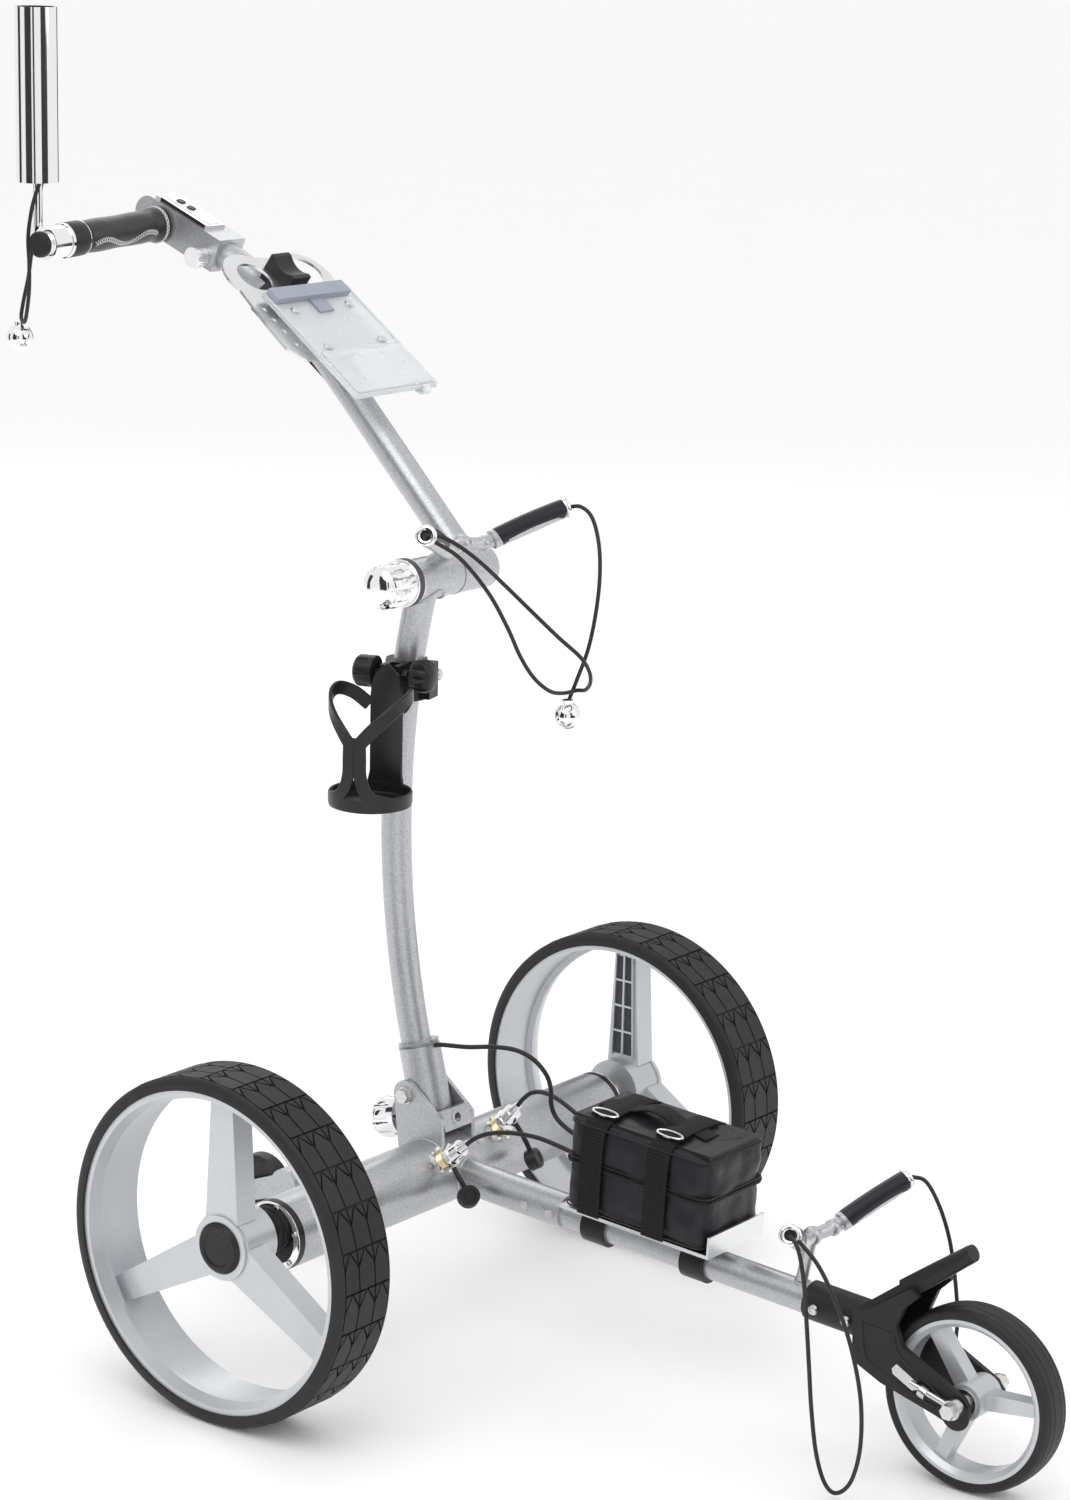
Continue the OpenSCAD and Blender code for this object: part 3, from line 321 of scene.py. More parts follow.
def turned_copies_tree():
    """Copies of a piece turned round the Z axis."""
    tree, into, out = new_tree("Turned copies", [
        ("Piece", "NodeSocketObject", None), ("Count", "NodeSocketInt", 12),
        ("First turn", "NodeSocketFloat", 0.0), ("Finish", "NodeSocketMaterial", None)])
    line = tree.nodes.new("GeometryNodeMeshLine")
    line.inputs["Offset"].default_value = (0, 0, 0)
    link(tree, into, "Count", line, "Count")
    index = tree.nodes.new("GeometryNodeInputIndex")
    share = tree.nodes.new("ShaderNodeMath")
    share.operation = "DIVIDE"
    link(tree, index, 0, share, 0)
    link(tree, into, "Count", share, 1)
    angle = tree.nodes.new("ShaderNodeMath")
    angle.operation = "MULTIPLY_ADD"
    angle.inputs[1].default_value = 2 * pi
    link(tree, share, 0, angle, 0)
    link(tree, into, "First turn", angle, 2)
    turn = tree.nodes.new("ShaderNodeCombineXYZ")
    link(tree, angle, 0, turn, "Z")
    info = tree.nodes.new("GeometryNodeObjectInfo")
    link(tree, into, "Piece", info, "Object")
    copies = tree.nodes.new("GeometryNodeInstanceOnPoints")
    link(tree, line, 0, copies, "Points")
    link(tree, info, "Geometry", copies, "Instance")
    link(tree, turn, 0, copies, "Rotation")
    real = tree.nodes.new("GeometryNodeRealizeInstances")
    link(tree, copies, 0, real, 0)
    paint = tree.nodes.new("GeometryNodeSetMaterial")
    link(tree, real, 0, paint, "Geometry")
    link(tree, into, "Finish", paint, "Material")
    link(tree, paint, 0, out, 0)
    return tree


def along_path_tree():
    """Copies of a piece along a curve, each turned to the curve and to its normal."""
    tree, into, out = new_tree("Copies along a path", [
        ("Piece", "NodeSocketObject", None), ("Spacing", "NodeSocketFloat", 0.003),
        ("Finish", "NodeSocketMaterial", None)])
    again = tree.nodes.new("GeometryNodeResampleCurve")
    again.mode = "LENGTH"
    link(tree, into, 0, again, "Curve")
    link(tree, into, "Spacing", again, "Length")
    tangent, normal = tree.nodes.new("GeometryNodeInputTangent"), tree.nodes.new("GeometryNodeInputNormal")
    along = tree.nodes.new("FunctionNodeAlignEulerToVector")
    along.axis = "X"
    link(tree, tangent, 0, along, "Vector")
    lift = tree.nodes.new("FunctionNodeAlignEulerToVector")
    lift.axis, lift.pivot_axis = "Z", "X"
    link(tree, along, 0, lift, "Rotation")
    link(tree, normal, 0, lift, "Vector")
    info = tree.nodes.new("GeometryNodeObjectInfo")
    link(tree, into, "Piece", info, "Object")
    copies = tree.nodes.new("GeometryNodeInstanceOnPoints")
    link(tree, again, 0, copies, "Points")
    link(tree, info, "Geometry", copies, "Instance")
    link(tree, lift, 0, copies, "Rotation")
    real = tree.nodes.new("GeometryNodeRealizeInstances")
    link(tree, copies, 0, real, 0)
    paint = tree.nodes.new("GeometryNodeSetMaterial")
    link(tree, real, 0, paint, "Geometry")
    link(tree, into, "Finish", paint, "Material")
    link(tree, paint, 0, out, 0)
    return tree


def grown(carrier, tree, values, name, at, finish, body, stands_for=()):
    """Runs a tree on a carrier object, keeps the result as a plain mesh and puts it in place."""
    mod = carrier.modifiers.new("Grow", "NODES")
    mod.node_group = tree
    for item in tree.interface.items_tree:
        if item.item_type == "SOCKET" and item.in_out == "INPUT" and item.name in values:
            mod[item.identifier] = values[item.name]
    carrier.update_tag()
    bpy.context.view_layer.update()
    seen = carrier.evaluated_get(bpy.context.evaluated_depsgraph_get())
    mesh = bpy.data.meshes.new_from_object(seen, depsgraph=bpy.context.evaluated_depsgraph_get())
    drop(carrier)
    mesh.transform(Matrix.Scale(MM, 4) @ at @ Matrix.Scale(1 / MM, 4))
    mesh.name = name
    mesh.materials.clear()
    mesh.materials.append(finish)
    mesh.shade_smooth()
    mesh.set_sharp_from_angle(angle=radians(35))
    obj = bpy.data.objects.new(name, mesh)
    bpy.context.scene.collection.objects.link(obj)
    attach(obj, body)
    if stands_for:
        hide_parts(*stands_for)
    return obj


def ring_of(parts, count, name, at, finish, body, first=0.0):
    """A ring of like pieces about the Z axis of a frame."""
    pattern = make(name + "_pattern", parts, finish)
    carrier = bpy.data.objects.new(name + "_carrier", bpy.data.meshes.new(name + "_carrier"))
    bpy.context.scene.collection.objects.link(carrier)
    tree = bpy.data.node_groups.get("Turned copies") or turned_copies_tree()
    obj = grown(carrier, tree, {"Piece": pattern, "Count": count, "First turn": first, "Finish": finish},
                name, at, finish, body)
    drop(pattern)
    return obj


def row_of(parts, path, spacing, name, at, finish, body, closed=False):
    """Like pieces in a row along a path, in millimetres, lying on the side that faces level."""
    pattern = make(name + "_pattern", parts, finish)
    curve = bpy.data.curves.new(name + "_carrier", "CURVE")
    curve.dimensions = "3D"
    spline = curve.splines.new("POLY")
    spline.points.add(len(path) - 1)
    for point, p in zip(spline.points, path):
        point.co = (*(Vector(p) * MM), 1)
    spline.use_cyclic_u = closed
    curve.twist_mode = "Z_UP"
    carrier = bpy.data.objects.new(name + "_carrier", curve)
    bpy.context.scene.collection.objects.link(carrier)
    tree = bpy.data.node_groups.get("Copies along a path") or along_path_tree()
    obj = grown(carrier, tree, {"Piece": pattern, "Spacing": spacing * MM, "Finish": finish},
                name, at, finish, body)
    drop(pattern)
    return obj


# ---- finishes ------------------------------------------------------------------
def finish(name, colour, roughness, metallic=0.0, **sockets):
    """A material with its constants on the shader's own sockets."""
    m = bpy.data.materials.new(name)
    m.use_nodes = True
    shader = m.node_tree.nodes["Principled BSDF"]
    shader.inputs["Base Color"].default_value = (*colour[:3], 1)
    shader.inputs["Roughness"].default_value = roughness
    shader.inputs["Metallic"].default_value = metallic
    for label, value in sockets.items():
        shader.inputs[label.replace("_", " ")].default_value = value
    return m


def node(m, kind, **inputs):
    """A node of a material with values for its inputs."""
    n = m.node_tree.nodes.new(kind)
    for label, value in inputs.items():
        n.inputs[label].default_value = value
    return n


def wire(m, a, out, b, into):
    """One wire of a material."""
    m.node_tree.links.new(a.outputs[out], b.inputs[into])


def shader_of(m):
    """The main shader of a material."""
    return m.node_tree.nodes["Principled BSDF"]


def bump(m, source, out, strength, distance, after=None):
    """Raises the surface by a pattern; distances in metres. Returns the bump node."""
    b = node(m, "ShaderNodeBump", Strength=strength, Distance=distance)
    wire(m, source, out, b, "Height")
    if after:
        wire(m, after, "Normal", b, "Normal")
    wire(m, b, "Normal", shader_of(m), "Normal")
    return b


def shade(m, source, out, low, high, into="Base Color"):
    """Carries a pattern from one colour or value to another on a socket of the shader."""
    if into == "Base Color":
        mix = node(m, "ShaderNodeMix")
        mix.data_type = "RGBA"
        mix.inputs[6].default_value = (*low[:3], 1)
        mix.inputs[7].default_value = (*high[:3], 1)
        wire(m, source, out, mix, 0)
        wire(m, mix, 2, shader_of(m), into)
        return mix
    span = node(m, "ShaderNodeMapRange")
    span.inputs["To Min"].default_value = low
    span.inputs["To Max"].default_value = high
    wire(m, source, out, span, "Value")
    wire(m, span, 0, shader_of(m), into)
    return span


def coordinates(m, kind="Object", scale=(1, 1, 1), turn=(0, 0, 0)):
    """The coordinates of a pattern, stretched and turned."""
    c = m.node_tree.nodes.new("ShaderNodeTexCoord")
    mapping = node(m, "ShaderNodeMapping", Scale=scale, Rotation=turn)
    wire(m, c, kind, mapping, "Vector")
    return mapping


def noise_map(m, scale, detail=3.0, roughness=0.5, stretch=(1, 1, 1), kind="Object"):
    """A cloudy pattern."""
    n = node(m, "ShaderNodeTexNoise", Scale=scale, Detail=detail, Roughness=roughness)
    wire(m, coordinates(m, kind, stretch), 0, n, "Vector")
    return n


def cell_map(m, scale, feature="F1", kind="Object"):
    """A pattern of cells."""
    n = node(m, "ShaderNodeTexVoronoi", Scale=scale)
    n.feature = feature
    wire(m, coordinates(m, kind), 0, n, "Vector")
    return n


def tinted(colour, k):
    """A colour made lighter or darker."""
    return tuple(max(0.0, min(1.0, c * k)) for c in colour[:3])


def flake_paint(name, colour):
    """Silver powder coat with metal flake under a clear coat."""
    m = finish(name, colour, 0.34, 0.8, Coat_Weight=0.35, Coat_Roughness=0.12)
    flakes = cell_map(m, 1500)
    shade(m, flakes, "Color", tinted(colour, 0.72), tinted(colour, 1.28))
    cloud = noise_map(m, 900, 2)
    shade(m, cloud, 0, 0.24, 0.48, "Roughness")
    bump(m, flakes, "Distance", 0.25, 0.00015)
    return m


def polished(name, colour):
    """Mirror chrome with faint wiping marks."""
    m = finish(name, colour, 0.05, 1.0)
    marks = noise_map(m, 60, 4, 0.6, (1, 1, 4))
    shade(m, marks, 0, 0.03, 0.11, "Roughness")
    bump(m, noise_map(m, 35, 2), 0, 0.05, 0.0003)
    return m


def plated(name, colour, roughness=0.26):
    """Zinc plated or turned steel."""
    m = finish(name, colour, roughness, 1.0)
    grain = noise_map(m, 500, 3, 0.6)
    shade(m, grain, 0, tinted(colour, 0.8), tinted(colour, 1.15))
    shade(m, noise_map(m, 220, 3), 0, roughness - 0.08, roughness + 0.14, "Roughness")
    bump(m, grain, 0, 0.15, 0.0001)
    return m


def brushed(name, colour):
    """Satin aluminium with fine brushing along X."""
    m = finish(name, colour, 0.3, 1.0)
    lines = noise_map(m, 700, 3, 0.6, (0.04, 1, 1))
    shade(m, lines, 0, tinted(colour, 0.86), tinted(colour, 1.08))
    shade(m, lines, 0, 0.2, 0.42, "Roughness")
    bump(m, lines, 0, 0.1, 0.00008)
    return m


def moulded(name, colour, roughness=0.42, grain=0.00012, scale=1600, contrast=0.3, metallic=0.0):
    """Moulded plastic or soft rubber with a fine grain and worn patches."""
    m = finish(name, colour, roughness, metallic, Specular_IOR_Level=0.35)
    worn = noise_map(m, 30, 4, 0.6)
    shade(m, worn, 0, tinted(colour, 1 - contrast), tinted(colour, 1 + contrast))
    shade(m, noise_map(m, 90, 3), 0, roughness - 0.07, roughness + 0.1, "Roughness")
    bump(m, cell_map(m, scale), "Distance", 0.35, grain)
    return m


def tread_rubber(name, colour):
    """Tyre rubber, greyer where it has scuffed."""
    m = finish(name, colour, 0.52, Specular_IOR_Level=0.35)
    scuff = noise_map(m, 45, 5, 0.65)
    shade(m, scuff, 0, tinted(colour, 0.7), tinted(colour, 1.7))
    shade(m, noise_map(m, 150, 3), 0, 0.42, 0.66, "Roughness")
    fine = bump(m, noise_map(m, 900, 3), 0, 0.3, 0.00015)
    bump(m, noise_map(m, 60, 2), 0, 0.12, 0.0006, fine)
    return m


def grained_leather(name, colour):
    """Black leather with pebbled grain and a soft shine."""
    m = finish(name, colour, 0.36, 0.0, Specular_IOR_Level=0.55, Coat_Weight=0.15, Coat_Roughness=0.3)
    pebbles = cell_map(m, 620)
    shade(m, pebbles, "Distance", tinted(colour, 1.9), tinted(colour, 0.7))
    shade(m, noise_map(m, 120, 3), 0, 0.28, 0.5, "Roughness")
    grain = bump(m, pebbles, "Distance", 0.55, 0.0004)
    bump(m, noise_map(m, 70, 3), 0, 0.3, 0.0012, grain)
    return m


def coated_nylon(name, colour):
    """Coated black bag cloth: a fine weave, soft folds, light and dark patches of painted crease shade, and a sheen.
    """
    m = finish(name, colour, 0.4, 0.0, Sheen_Weight=0.06, Sheen_Roughness=0.35, Specular_IOR_Level=0.32)
    crease_shade_patches = noise_map(m, 26, 4, 0.55)
    # Painted crease shade: random light and dark patches, 0.6 to 1.8 times the cloth colour
    shade(m, crease_shade_patches, 0, tinted(colour, 0.6), tinted(colour, 1.8))
    shade(m, noise_map(m, 55, 3), 0, 0.3, 0.52, "Roughness")
    weave = None
    for turn in ((0, 0, 0), (0, pi / 2, 0), (0, 0, pi / 2)):
        w = node(m, "ShaderNodeTexWave", Scale=520.0, Distortion=0.6, Detail=1.0)
        wire(m, coordinates(m, "Object", (1, 1, 1), turn), 0, w, "Vector")
        weave = bump(m, w, "Fac", 0.22, 0.00015, weave)
    bump(m, noise_map(m, 38, 3, 0.55), 0, 0.55, 0.003, weave)
    return m


def ribbed_webbing(name, colour, rib=0.0013):
    """Woven strap with ribs across its length, from its own UV map; the rib tops are painted lighter and the grooves
    darker as painted highlight and shade.
    """
    m = finish(name, colour, 0.62, 0.0, Specular_IOR_Level=0.2)
    ribs = node(m, "ShaderNodeTexWave", Scale=1.0 / rib / 6.28, Distortion=0.4, Detail=1.0)
    ribs.bands_direction = "Y"
    wire(m, coordinates(m, "UV", (0.004, 1, 1)), 0, ribs, "Vector")
    # Painted highlight and shade: colour follows the rib bump, lighter on the raised ribs and darker in the grooves
    shade(m, ribs, "Fac", tinted(colour, 0.5), tinted(colour, 1.9))
    bump(m, ribs, "Fac", 0.6, 0.0005)
    return m


def braided(name, colour, pitch=0.0022):
    """Elastic cord or cable sheath with a slanted braid, from its own UV map."""
    m = finish(name, colour, 0.45)
    coords = coordinates(m, "UV", (1, 1, 1))
    last = None
    for slant in (1, -1):
        apart = m.node_tree.nodes.new("ShaderNodeSeparateXYZ")
        wire(m, coords, 0, apart, 0)
        turns = node(m, "ShaderNodeMath")
        turns.operation = "MULTIPLY_ADD"
        turns.inputs[1].default_value = slant * 1.0
        scaled = node(m, "ShaderNodeMath")
        scaled.operation = "MULTIPLY"
        scaled.inputs[1].default_value = 1.0 / pitch
        wire(m, apart, 1, scaled, 0)
        wire(m, apart, 0, turns, 0)
        wire(m, scaled, 0, turns, 2)
        wave = node(m, "ShaderNodeMath")
        wave.operation = "PINGPONG"
        wave.inputs[1].default_value = 0.5
        wire(m, turns, 0, wave, 0)
        last = bump(m, wave, 0, 0.35, 0.0006, last)
    shade(m, noise_map(m, 300, 2), 0, tinted(colour, 0.6), tinted(colour, 1.6))
    return m


def frosted(name, colour):
    """Clear acrylic with a frosted face."""
    m = finish(name, colour, 0.22, 0.0, Transmission_Weight=0.55, IOR=1.3, Coat_Weight=0.3)
    shade(m, noise_map(m, 80, 3), 0, 0.14, 0.34, "Roughness")
    bump(m, noise_map(m, 1200, 2), 0, 0.08, 0.0001)
    return m


# ---- settings ------------------------------------------------------------------
def colour_setting(name, text, value):
    """A colour that a user may change."""
    return bpy.props.FloatVectorProperty(name=name, description=text, default=value, size=3, min=0, max=1,
                                         subtype="COLOR")


class TrolleyColours(bpy.types.PropertyGroup):
    """Colours of the finishes"""
    silver: colour_setting("Silver paint", "Flake paint of the tubes", (0.47, 0.48, 0.50))
    rim: colour_setting("Rim silver", "Moulded silver of the wheel rims", (0.56, 0.575, 0.60))
    tyre: colour_setting("Tyre", "Rubber of the tyres", (0.013, 0.013, 0.014))
    black: colour_setting("Black plastic", "Moulded black plastic", (0.010, 0.010, 0.011))
    sleeve: colour_setting("Sleeve", "Rubber sleeves of the cradle arms", (0.012, 0.013, 0.020))
    leather: colour_setting("Leather", "Leather of the grip", (0.010, 0.010, 0.010))
    nylon: colour_setting("Bag cloth", "Coated cloth of the battery bag", (0.009, 0.009, 0.012))
    webbing: colour_setting("Webbing", "Straps of the battery bag", (0.007, 0.007, 0.008))
    clip: colour_setting("Paper clip", "Bar that holds the score card", (0.30, 0.32, 0.39))
    cord: colour_setting("Cord", "Elastic cords and cables", (0.008, 0.008, 0.008))


class TrolleySizes(bpy.types.PropertyGroup):
    """Sizes of the fittings, in millimetres"""
    tread_count: bpy.props.IntProperty(name="Tread blocks", description="Blocks in one row of a drive tyre",
                                       default=27, min=12, max=60)
    tread_height: bpy.props.FloatProperty(name="Tread height", description="Height of the tread blocks",
                                          default=1.9, min=0.5, max=5)
    stitch_spacing: bpy.props.FloatProperty(name="Stitch spacing", description="Distance between stitches",
                                            default=3.4, min=1.5, max=8)
    strap_width: bpy.props.FloatProperty(name="Strap width", description="Width of the bag's webbing straps",
                                         default=22, min=10, max=40)
    weld_size: bpy.props.FloatProperty(name="Weld size", description="Thickness of the weld beads",
                                       default=2.6, min=1, max=6)
    cord_width: bpy.props.FloatProperty(name="Cord", description="Diameter of the elastic cords", default=3.4,
                                        min=2, max=6)
    cable_width: bpy.props.FloatProperty(name="Cable", description="Diameter of the cables", default=4.0,
                                         min=3, max=6)


class TrolleyCloth(bpy.types.PropertyGroup):
    """How the battery bag is swelled"""
    pressure: bpy.props.FloatProperty(name="Pressure", description="Air pressure in the bag", default=4.0,
                                      min=0, max=10)
    last_frame: bpy.props.IntProperty(name="Frames", description="Frames of the simulation", default=20,
                                      min=5, max=60)
    voxel: bpy.props.FloatProperty(name="Voxel", description="Size of the cloth's cells", default=0.0045,
                                   min=0.003, max=0.01, unit="LENGTH")
    swell: bpy.props.FloatProperty(name="Largest swell", description="How far a point may move",
                                   default=0.0012, min=0, max=0.02, unit="LENGTH")


class TrolleyStage(bpy.types.PropertyGroup):
    """Floor and lights"""
    floor: colour_setting("Floor", "Colour of the floor", (1.0, 1.0, 1.0))
    key_power: bpy.props.FloatProperty(name="Key light", description="Power of the large light", default=34,
                                       min=0, unit="POWER")
    fill_power: bpy.props.FloatProperty(name="Fill light", description="Power of the side light", default=16,
                                        min=0, unit="POWER")
    sky: bpy.props.FloatProperty(name="Sky", description="Strength of the even light", default=0.95, min=0)


FINISHES = {}


def kept(name, builder, *args, **options):
    """A finish, made once."""
    if name not in FINISHES:
        FINISHES[name] = builder(name, *args, **options)
    return FINISHES[name]


def silver():
    """The flake paint of the tubes."""
    return kept("silver_flake_paint", flake_paint, bpy.context.scene.trolley_colours.silver)


def chrome():
    """The polished fittings."""
    return kept("mirror_chrome", polished, (0.88, 0.88, 0.89))


def steel():
    """Bolts, nuts and the adjusters."""
    return kept("zinc_steel", plated, (0.70, 0.70, 0.69))


def black():
    """Moulded black plastic."""
    return kept("black_plastic", moulded, bpy.context.scene.trolley_colours.black, 0.36)


def powder_coat():
    """The black coat of the fork."""
    return kept("black_powder_coat", moulded, (0.012, 0.012, 0.012), 0.46, 0.0002, 1300, 0.25)


def sleeve_rubber():
    """The cradle sleeves."""
    return kept("sleeve_rubber", moulded, bpy.context.scene.trolley_colours.sleeve, 0.34, 0.0001, 900, 0.25)


def cord_sheath():
    """The elastic cords."""
    return kept("cord_sheath", braided, bpy.context.scene.trolley_colours.cord)


def webbing():
    """The straps of the bag."""
    return kept("bag_webbing", ribbed_webbing, bpy.context.scene.trolley_colours.webbing)


def bag_cloth():
    """The cloth of the bag."""
    return kept("bag_nylon", coated_nylon, bpy.context.scene.trolley_colours.nylon)


def thread():
    """White sewing thread."""
    return kept("white_thread", moulded, (0.72, 0.72, 0.70), 0.6, 0.0001, 2500, 0.1)


# ---- camera and cords ------------------------------------------------------------
class TROLLEY_OT_camera(bpy.types.Operator):
    """Sets up the camera"""
    bl_idname = "trolley.camera"
    bl_label = "Camera"

    def execute(self, context):
        a, e, r = radians(37.76), radians(14.25), radians(1.18)
        right = Vector((cos(a), sin(a), 0))
        back = Vector((sin(a) * cos(e), -cos(a) * cos(e), sin(e)))
        up = back.cross(right)
        x, y = right * cos(r) + up * sin(r), up * cos(r) - right * sin(r)
        data = bpy.data.cameras.new("camera")
        data.sensor_width, data.sensor_fit = 36, "AUTO"
        data.lens = 90.63
        data.shift_x, data.shift_y = 0.0134, 0.0317
        data.clip_end = 50
        cam = bpy.data.objects.new("camera", data)
        cam.matrix_world = Matrix(((x[0], y[0], back[0], 1.92031), (x[1], y[1], back[1], -2.38861),
                                   (x[2], y[2], back[2], 1.24359), (0, 0, 0, 1)))
        context.scene.collection.objects.link(cam)
        context.scene.camera = cam
        return {"FINISHED"}


CORDS = {
    "handle_elastic": ("handle_cord", "umbrella_holder", "cord", [
        (-380, -93, 953), (-384, -97, 936), (-387, -99, 917), (-388.5, -99, 903), (-388.5, -98, 884),
        (-390, -97, 862), (-395, -95, 843), (-403, -90, 833), (-411, -86, 836), (-410, -84, 850), (-405, -83, 870),
        (-402, -82, 890), (-399, -81, 910), (-396, -81, 928), (-392, -81, 942), (-389, -81, 953)],
        "object", ["handle_ball"]),
    "upper_near_elastic": ("upper_cords", "lower_stem", "cord", [
        (48, -94, 705), (50, -82, 704), (58, -68, 696), (70, -52, 681), (84, -36, 661), (100, -20, 639),
        (116, -5, 618), (127, 9, 602), (126, 23, 588), (118, 36, 575), (105, 47, 565), (93, 51, 562), (88, 38, 561),
        (88, 20, 566), (84, 4, 579), (82, -12, 599), (82, -30, 626), (75, -47, 656), (61, -67, 685),
        (48, -90, 702)], "object", []),
    "upper_far_elastic": ("upper_cords", "lower_stem", "cord", [
        (49, 94, 705), (60, 95, 706), (73, 93, 699), (85, 87, 680), (93, 79, 655), (96, 71, 626), (95, 63, 596),
        (91, 54, 571), (87, 49, 554)], "fitting", ["upper_ball"]),
    "lower_near_elastic": ("lower_cords", "chassis", "cord", [
        (415, -87, 203), (426, -92, 196), (433, -93, 172), (437, -93, 140), (441, -93, 104), (445, -93, 68),
        (451, -93, 34), (460, -93, 12), (471, -93, 7), (483, -92, 20), (490, -92, 50), (488, -91, 88),
        (478, -90, 124), (464, -89, 154), (444, -88, 184), (423, -87, 201)], "object", []),
    "lower_far_elastic": ("lower_cords", "chassis", "cord", [
        (416, 87, 204), (428, 89, 202), (441, 90, 184), (452, 90, 158), (459, 90, 126), (463, 90, 94),
        (462, 90, 66)], "fitting", ["lower_ball"]),
    "stem_wire": ("stem_cable", None, "cable", [
        (-9.85, 0, 244.42), (-2.11, 0, 246.45), (22, 3, 249), (46, 8, 253), (66, 14, 253), (81, 20, 246),
        (90, 26, 233), (92, 30, 219), (91, 32, 206), (97, 33, 194), (116, 31, 186), (140, 26, 184),
        (159.3, 22, 184)], "object", []),
    "near_power_cable": ("power_cables", "chassis", "cable", [
        (51.46, -31, 178.37), (60, -31, 185.2), (72, -31, 191.5), (86, -30, 195.8), (104, -27, 198),
        (124, -25, 198), (145, -22, 194), (159.7, -21, 191)], "object", []),
    "far_power_cable": ("power_cables", "chassis", "cable", [
        (40.65, 52, 189.03), (45.58, 52, 195.33), (54, 52, 202.5), (66, 50.5, 206.5), (82, 47, 207),
        (102, 41, 204), (124, 34, 199), (147, 28, 195), (159.8, 26, 193)], "object", []),
}


class TROLLEY_OT_cords(bpy.types.Operator):
    """Makes the elastic cords and the cables"""
    bl_idname = "trolley.cords"
    bl_label = "Cords"

    def execute(self, context):
        sizes = context.scene.trolley_sizes
        for name, (cad, body, kind, route, far_end, along) in CORDS.items():
            width = sizes.cord_width if kind == "cord" else sizes.cable_width
            line = smooth_path(route)
            obj = make(name, [sweep(line, circle(width / 2, 12))], cord_sheath(), body, [cad], 60)
            if not body:
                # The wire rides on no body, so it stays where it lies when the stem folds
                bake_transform(obj)
                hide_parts(cad)
        return {"FINISHED"}


# ---- wheels ------------------------------------------------------------------------
def wheel_frame(node, side):
    """The frame of a wheel: Z points outward along the axle."""
    return place(*middle(node), "X", -90 * side)


def tread_block(outline, r0, r1, r):
    """A tread block bent round the tyre; the outline holds (run, across)."""
    verts, n = [], len(outline)
    for radius in (r0, r1):
        for s, t in outline:
            a = s / r
            verts.append(Vector((radius * cos(a), radius * sin(a), t)))
    faces = [[i, (i + 1) % n, n + (i + 1) % n, n + i] for i in range(n)]
    faces += [list(range(n))[::-1], list(range(n, 2 * n))]
    return verts, faces, None


class TROLLEY_OT_drive_tyres(bpy.types.Operator):
    """Makes the treaded tyres of the drive wheels"""
    bl_idname = "trolley.drive_tyres"
    bl_label = "Drive tyres"

    def execute(self, context):
        rubber = kept("tyre_rubber", tread_rubber, context.scene.trolley_colours.tyre)
        sizes = context.scene.trolley_sizes
        r, h, count = 145.0, sizes.tread_height, sizes.tread_count
        pitch = 2 * pi * r / count
        base = r - h
        half = [(134.1, 31), (137.0, 31), (140.5, 30.3), (143.2, 29.0), (144.5, 27.4), (144.5, 26.2), (base, 25.6),
                (base, 0.0)]
        carcass = half[:-1] + [(a, -b) for a, b in half[:-1][::-1]]
        shapes = []
        for middle_t, w in ((0.0, 8.6), (17.7, 7.7), (-17.7, 7.7)):
            shapes.append([(0.02, -w), (0.56, -w), (0.97, 0), (0.56, w), (0.02, w)])
            shapes.append([(0.67, w), (0.97, w), (0.97, 0.16 * w)])
            shapes.append([(0.97, -0.16 * w), (0.97, -w), (0.67, -w)])
            shapes[-3:] = [[(x * pitch, middle_t + t) for x, t in shape] for shape in shapes[-3:]]
        for side, name in ((1, "left"), (-1, "right")):
            at = wheel_frame(name + "_tyre", side)
            make(name + "_tyre_carcass", [lathe(carcass, 144, at)], rubber, name + "_wheel",
                 [name + "_tyre"], 30)
            blocks = [tread_block([(-side * x, t) for x, t in shape][::-side], base - 0.3, r, r) for shape in shapes]
            ring_of(blocks, count, name + "_tread_blocks", at, rubber, name + "_wheel")
        return {"FINISHED"}


class TROLLEY_OT_front_tyre(bpy.types.Operator):
    """Makes the grooved front tyre"""
    bl_idname = "trolley.front_tyre"
    bl_label = "Front tyre"

    def execute(self, context):
        rubber = kept("tyre_rubber", tread_rubber, context.scene.trolley_colours.tyre)
        half = [(66.1, 14), (68.2, 15.4), (70.5, 15.9), (72.4, 15.2), (73.6, 13.4), (74.2, 11.2), (73.5, 10.7),
                (74.3, 10.1), (74.9, 5.2), (74.2, 4.8), (75.0, 4.3), (75.0, 1.0)]
        outline = half + [(r, -y) for r, y in half[::-1]]
        at = place(*middle("front_tyre"), "X", -90)
        make("front_tyre_grooved", [lathe(outline, 128, at)], rubber, "front_wheel",
             ["front_tyre"], 30)
        return {"FINISHED"}


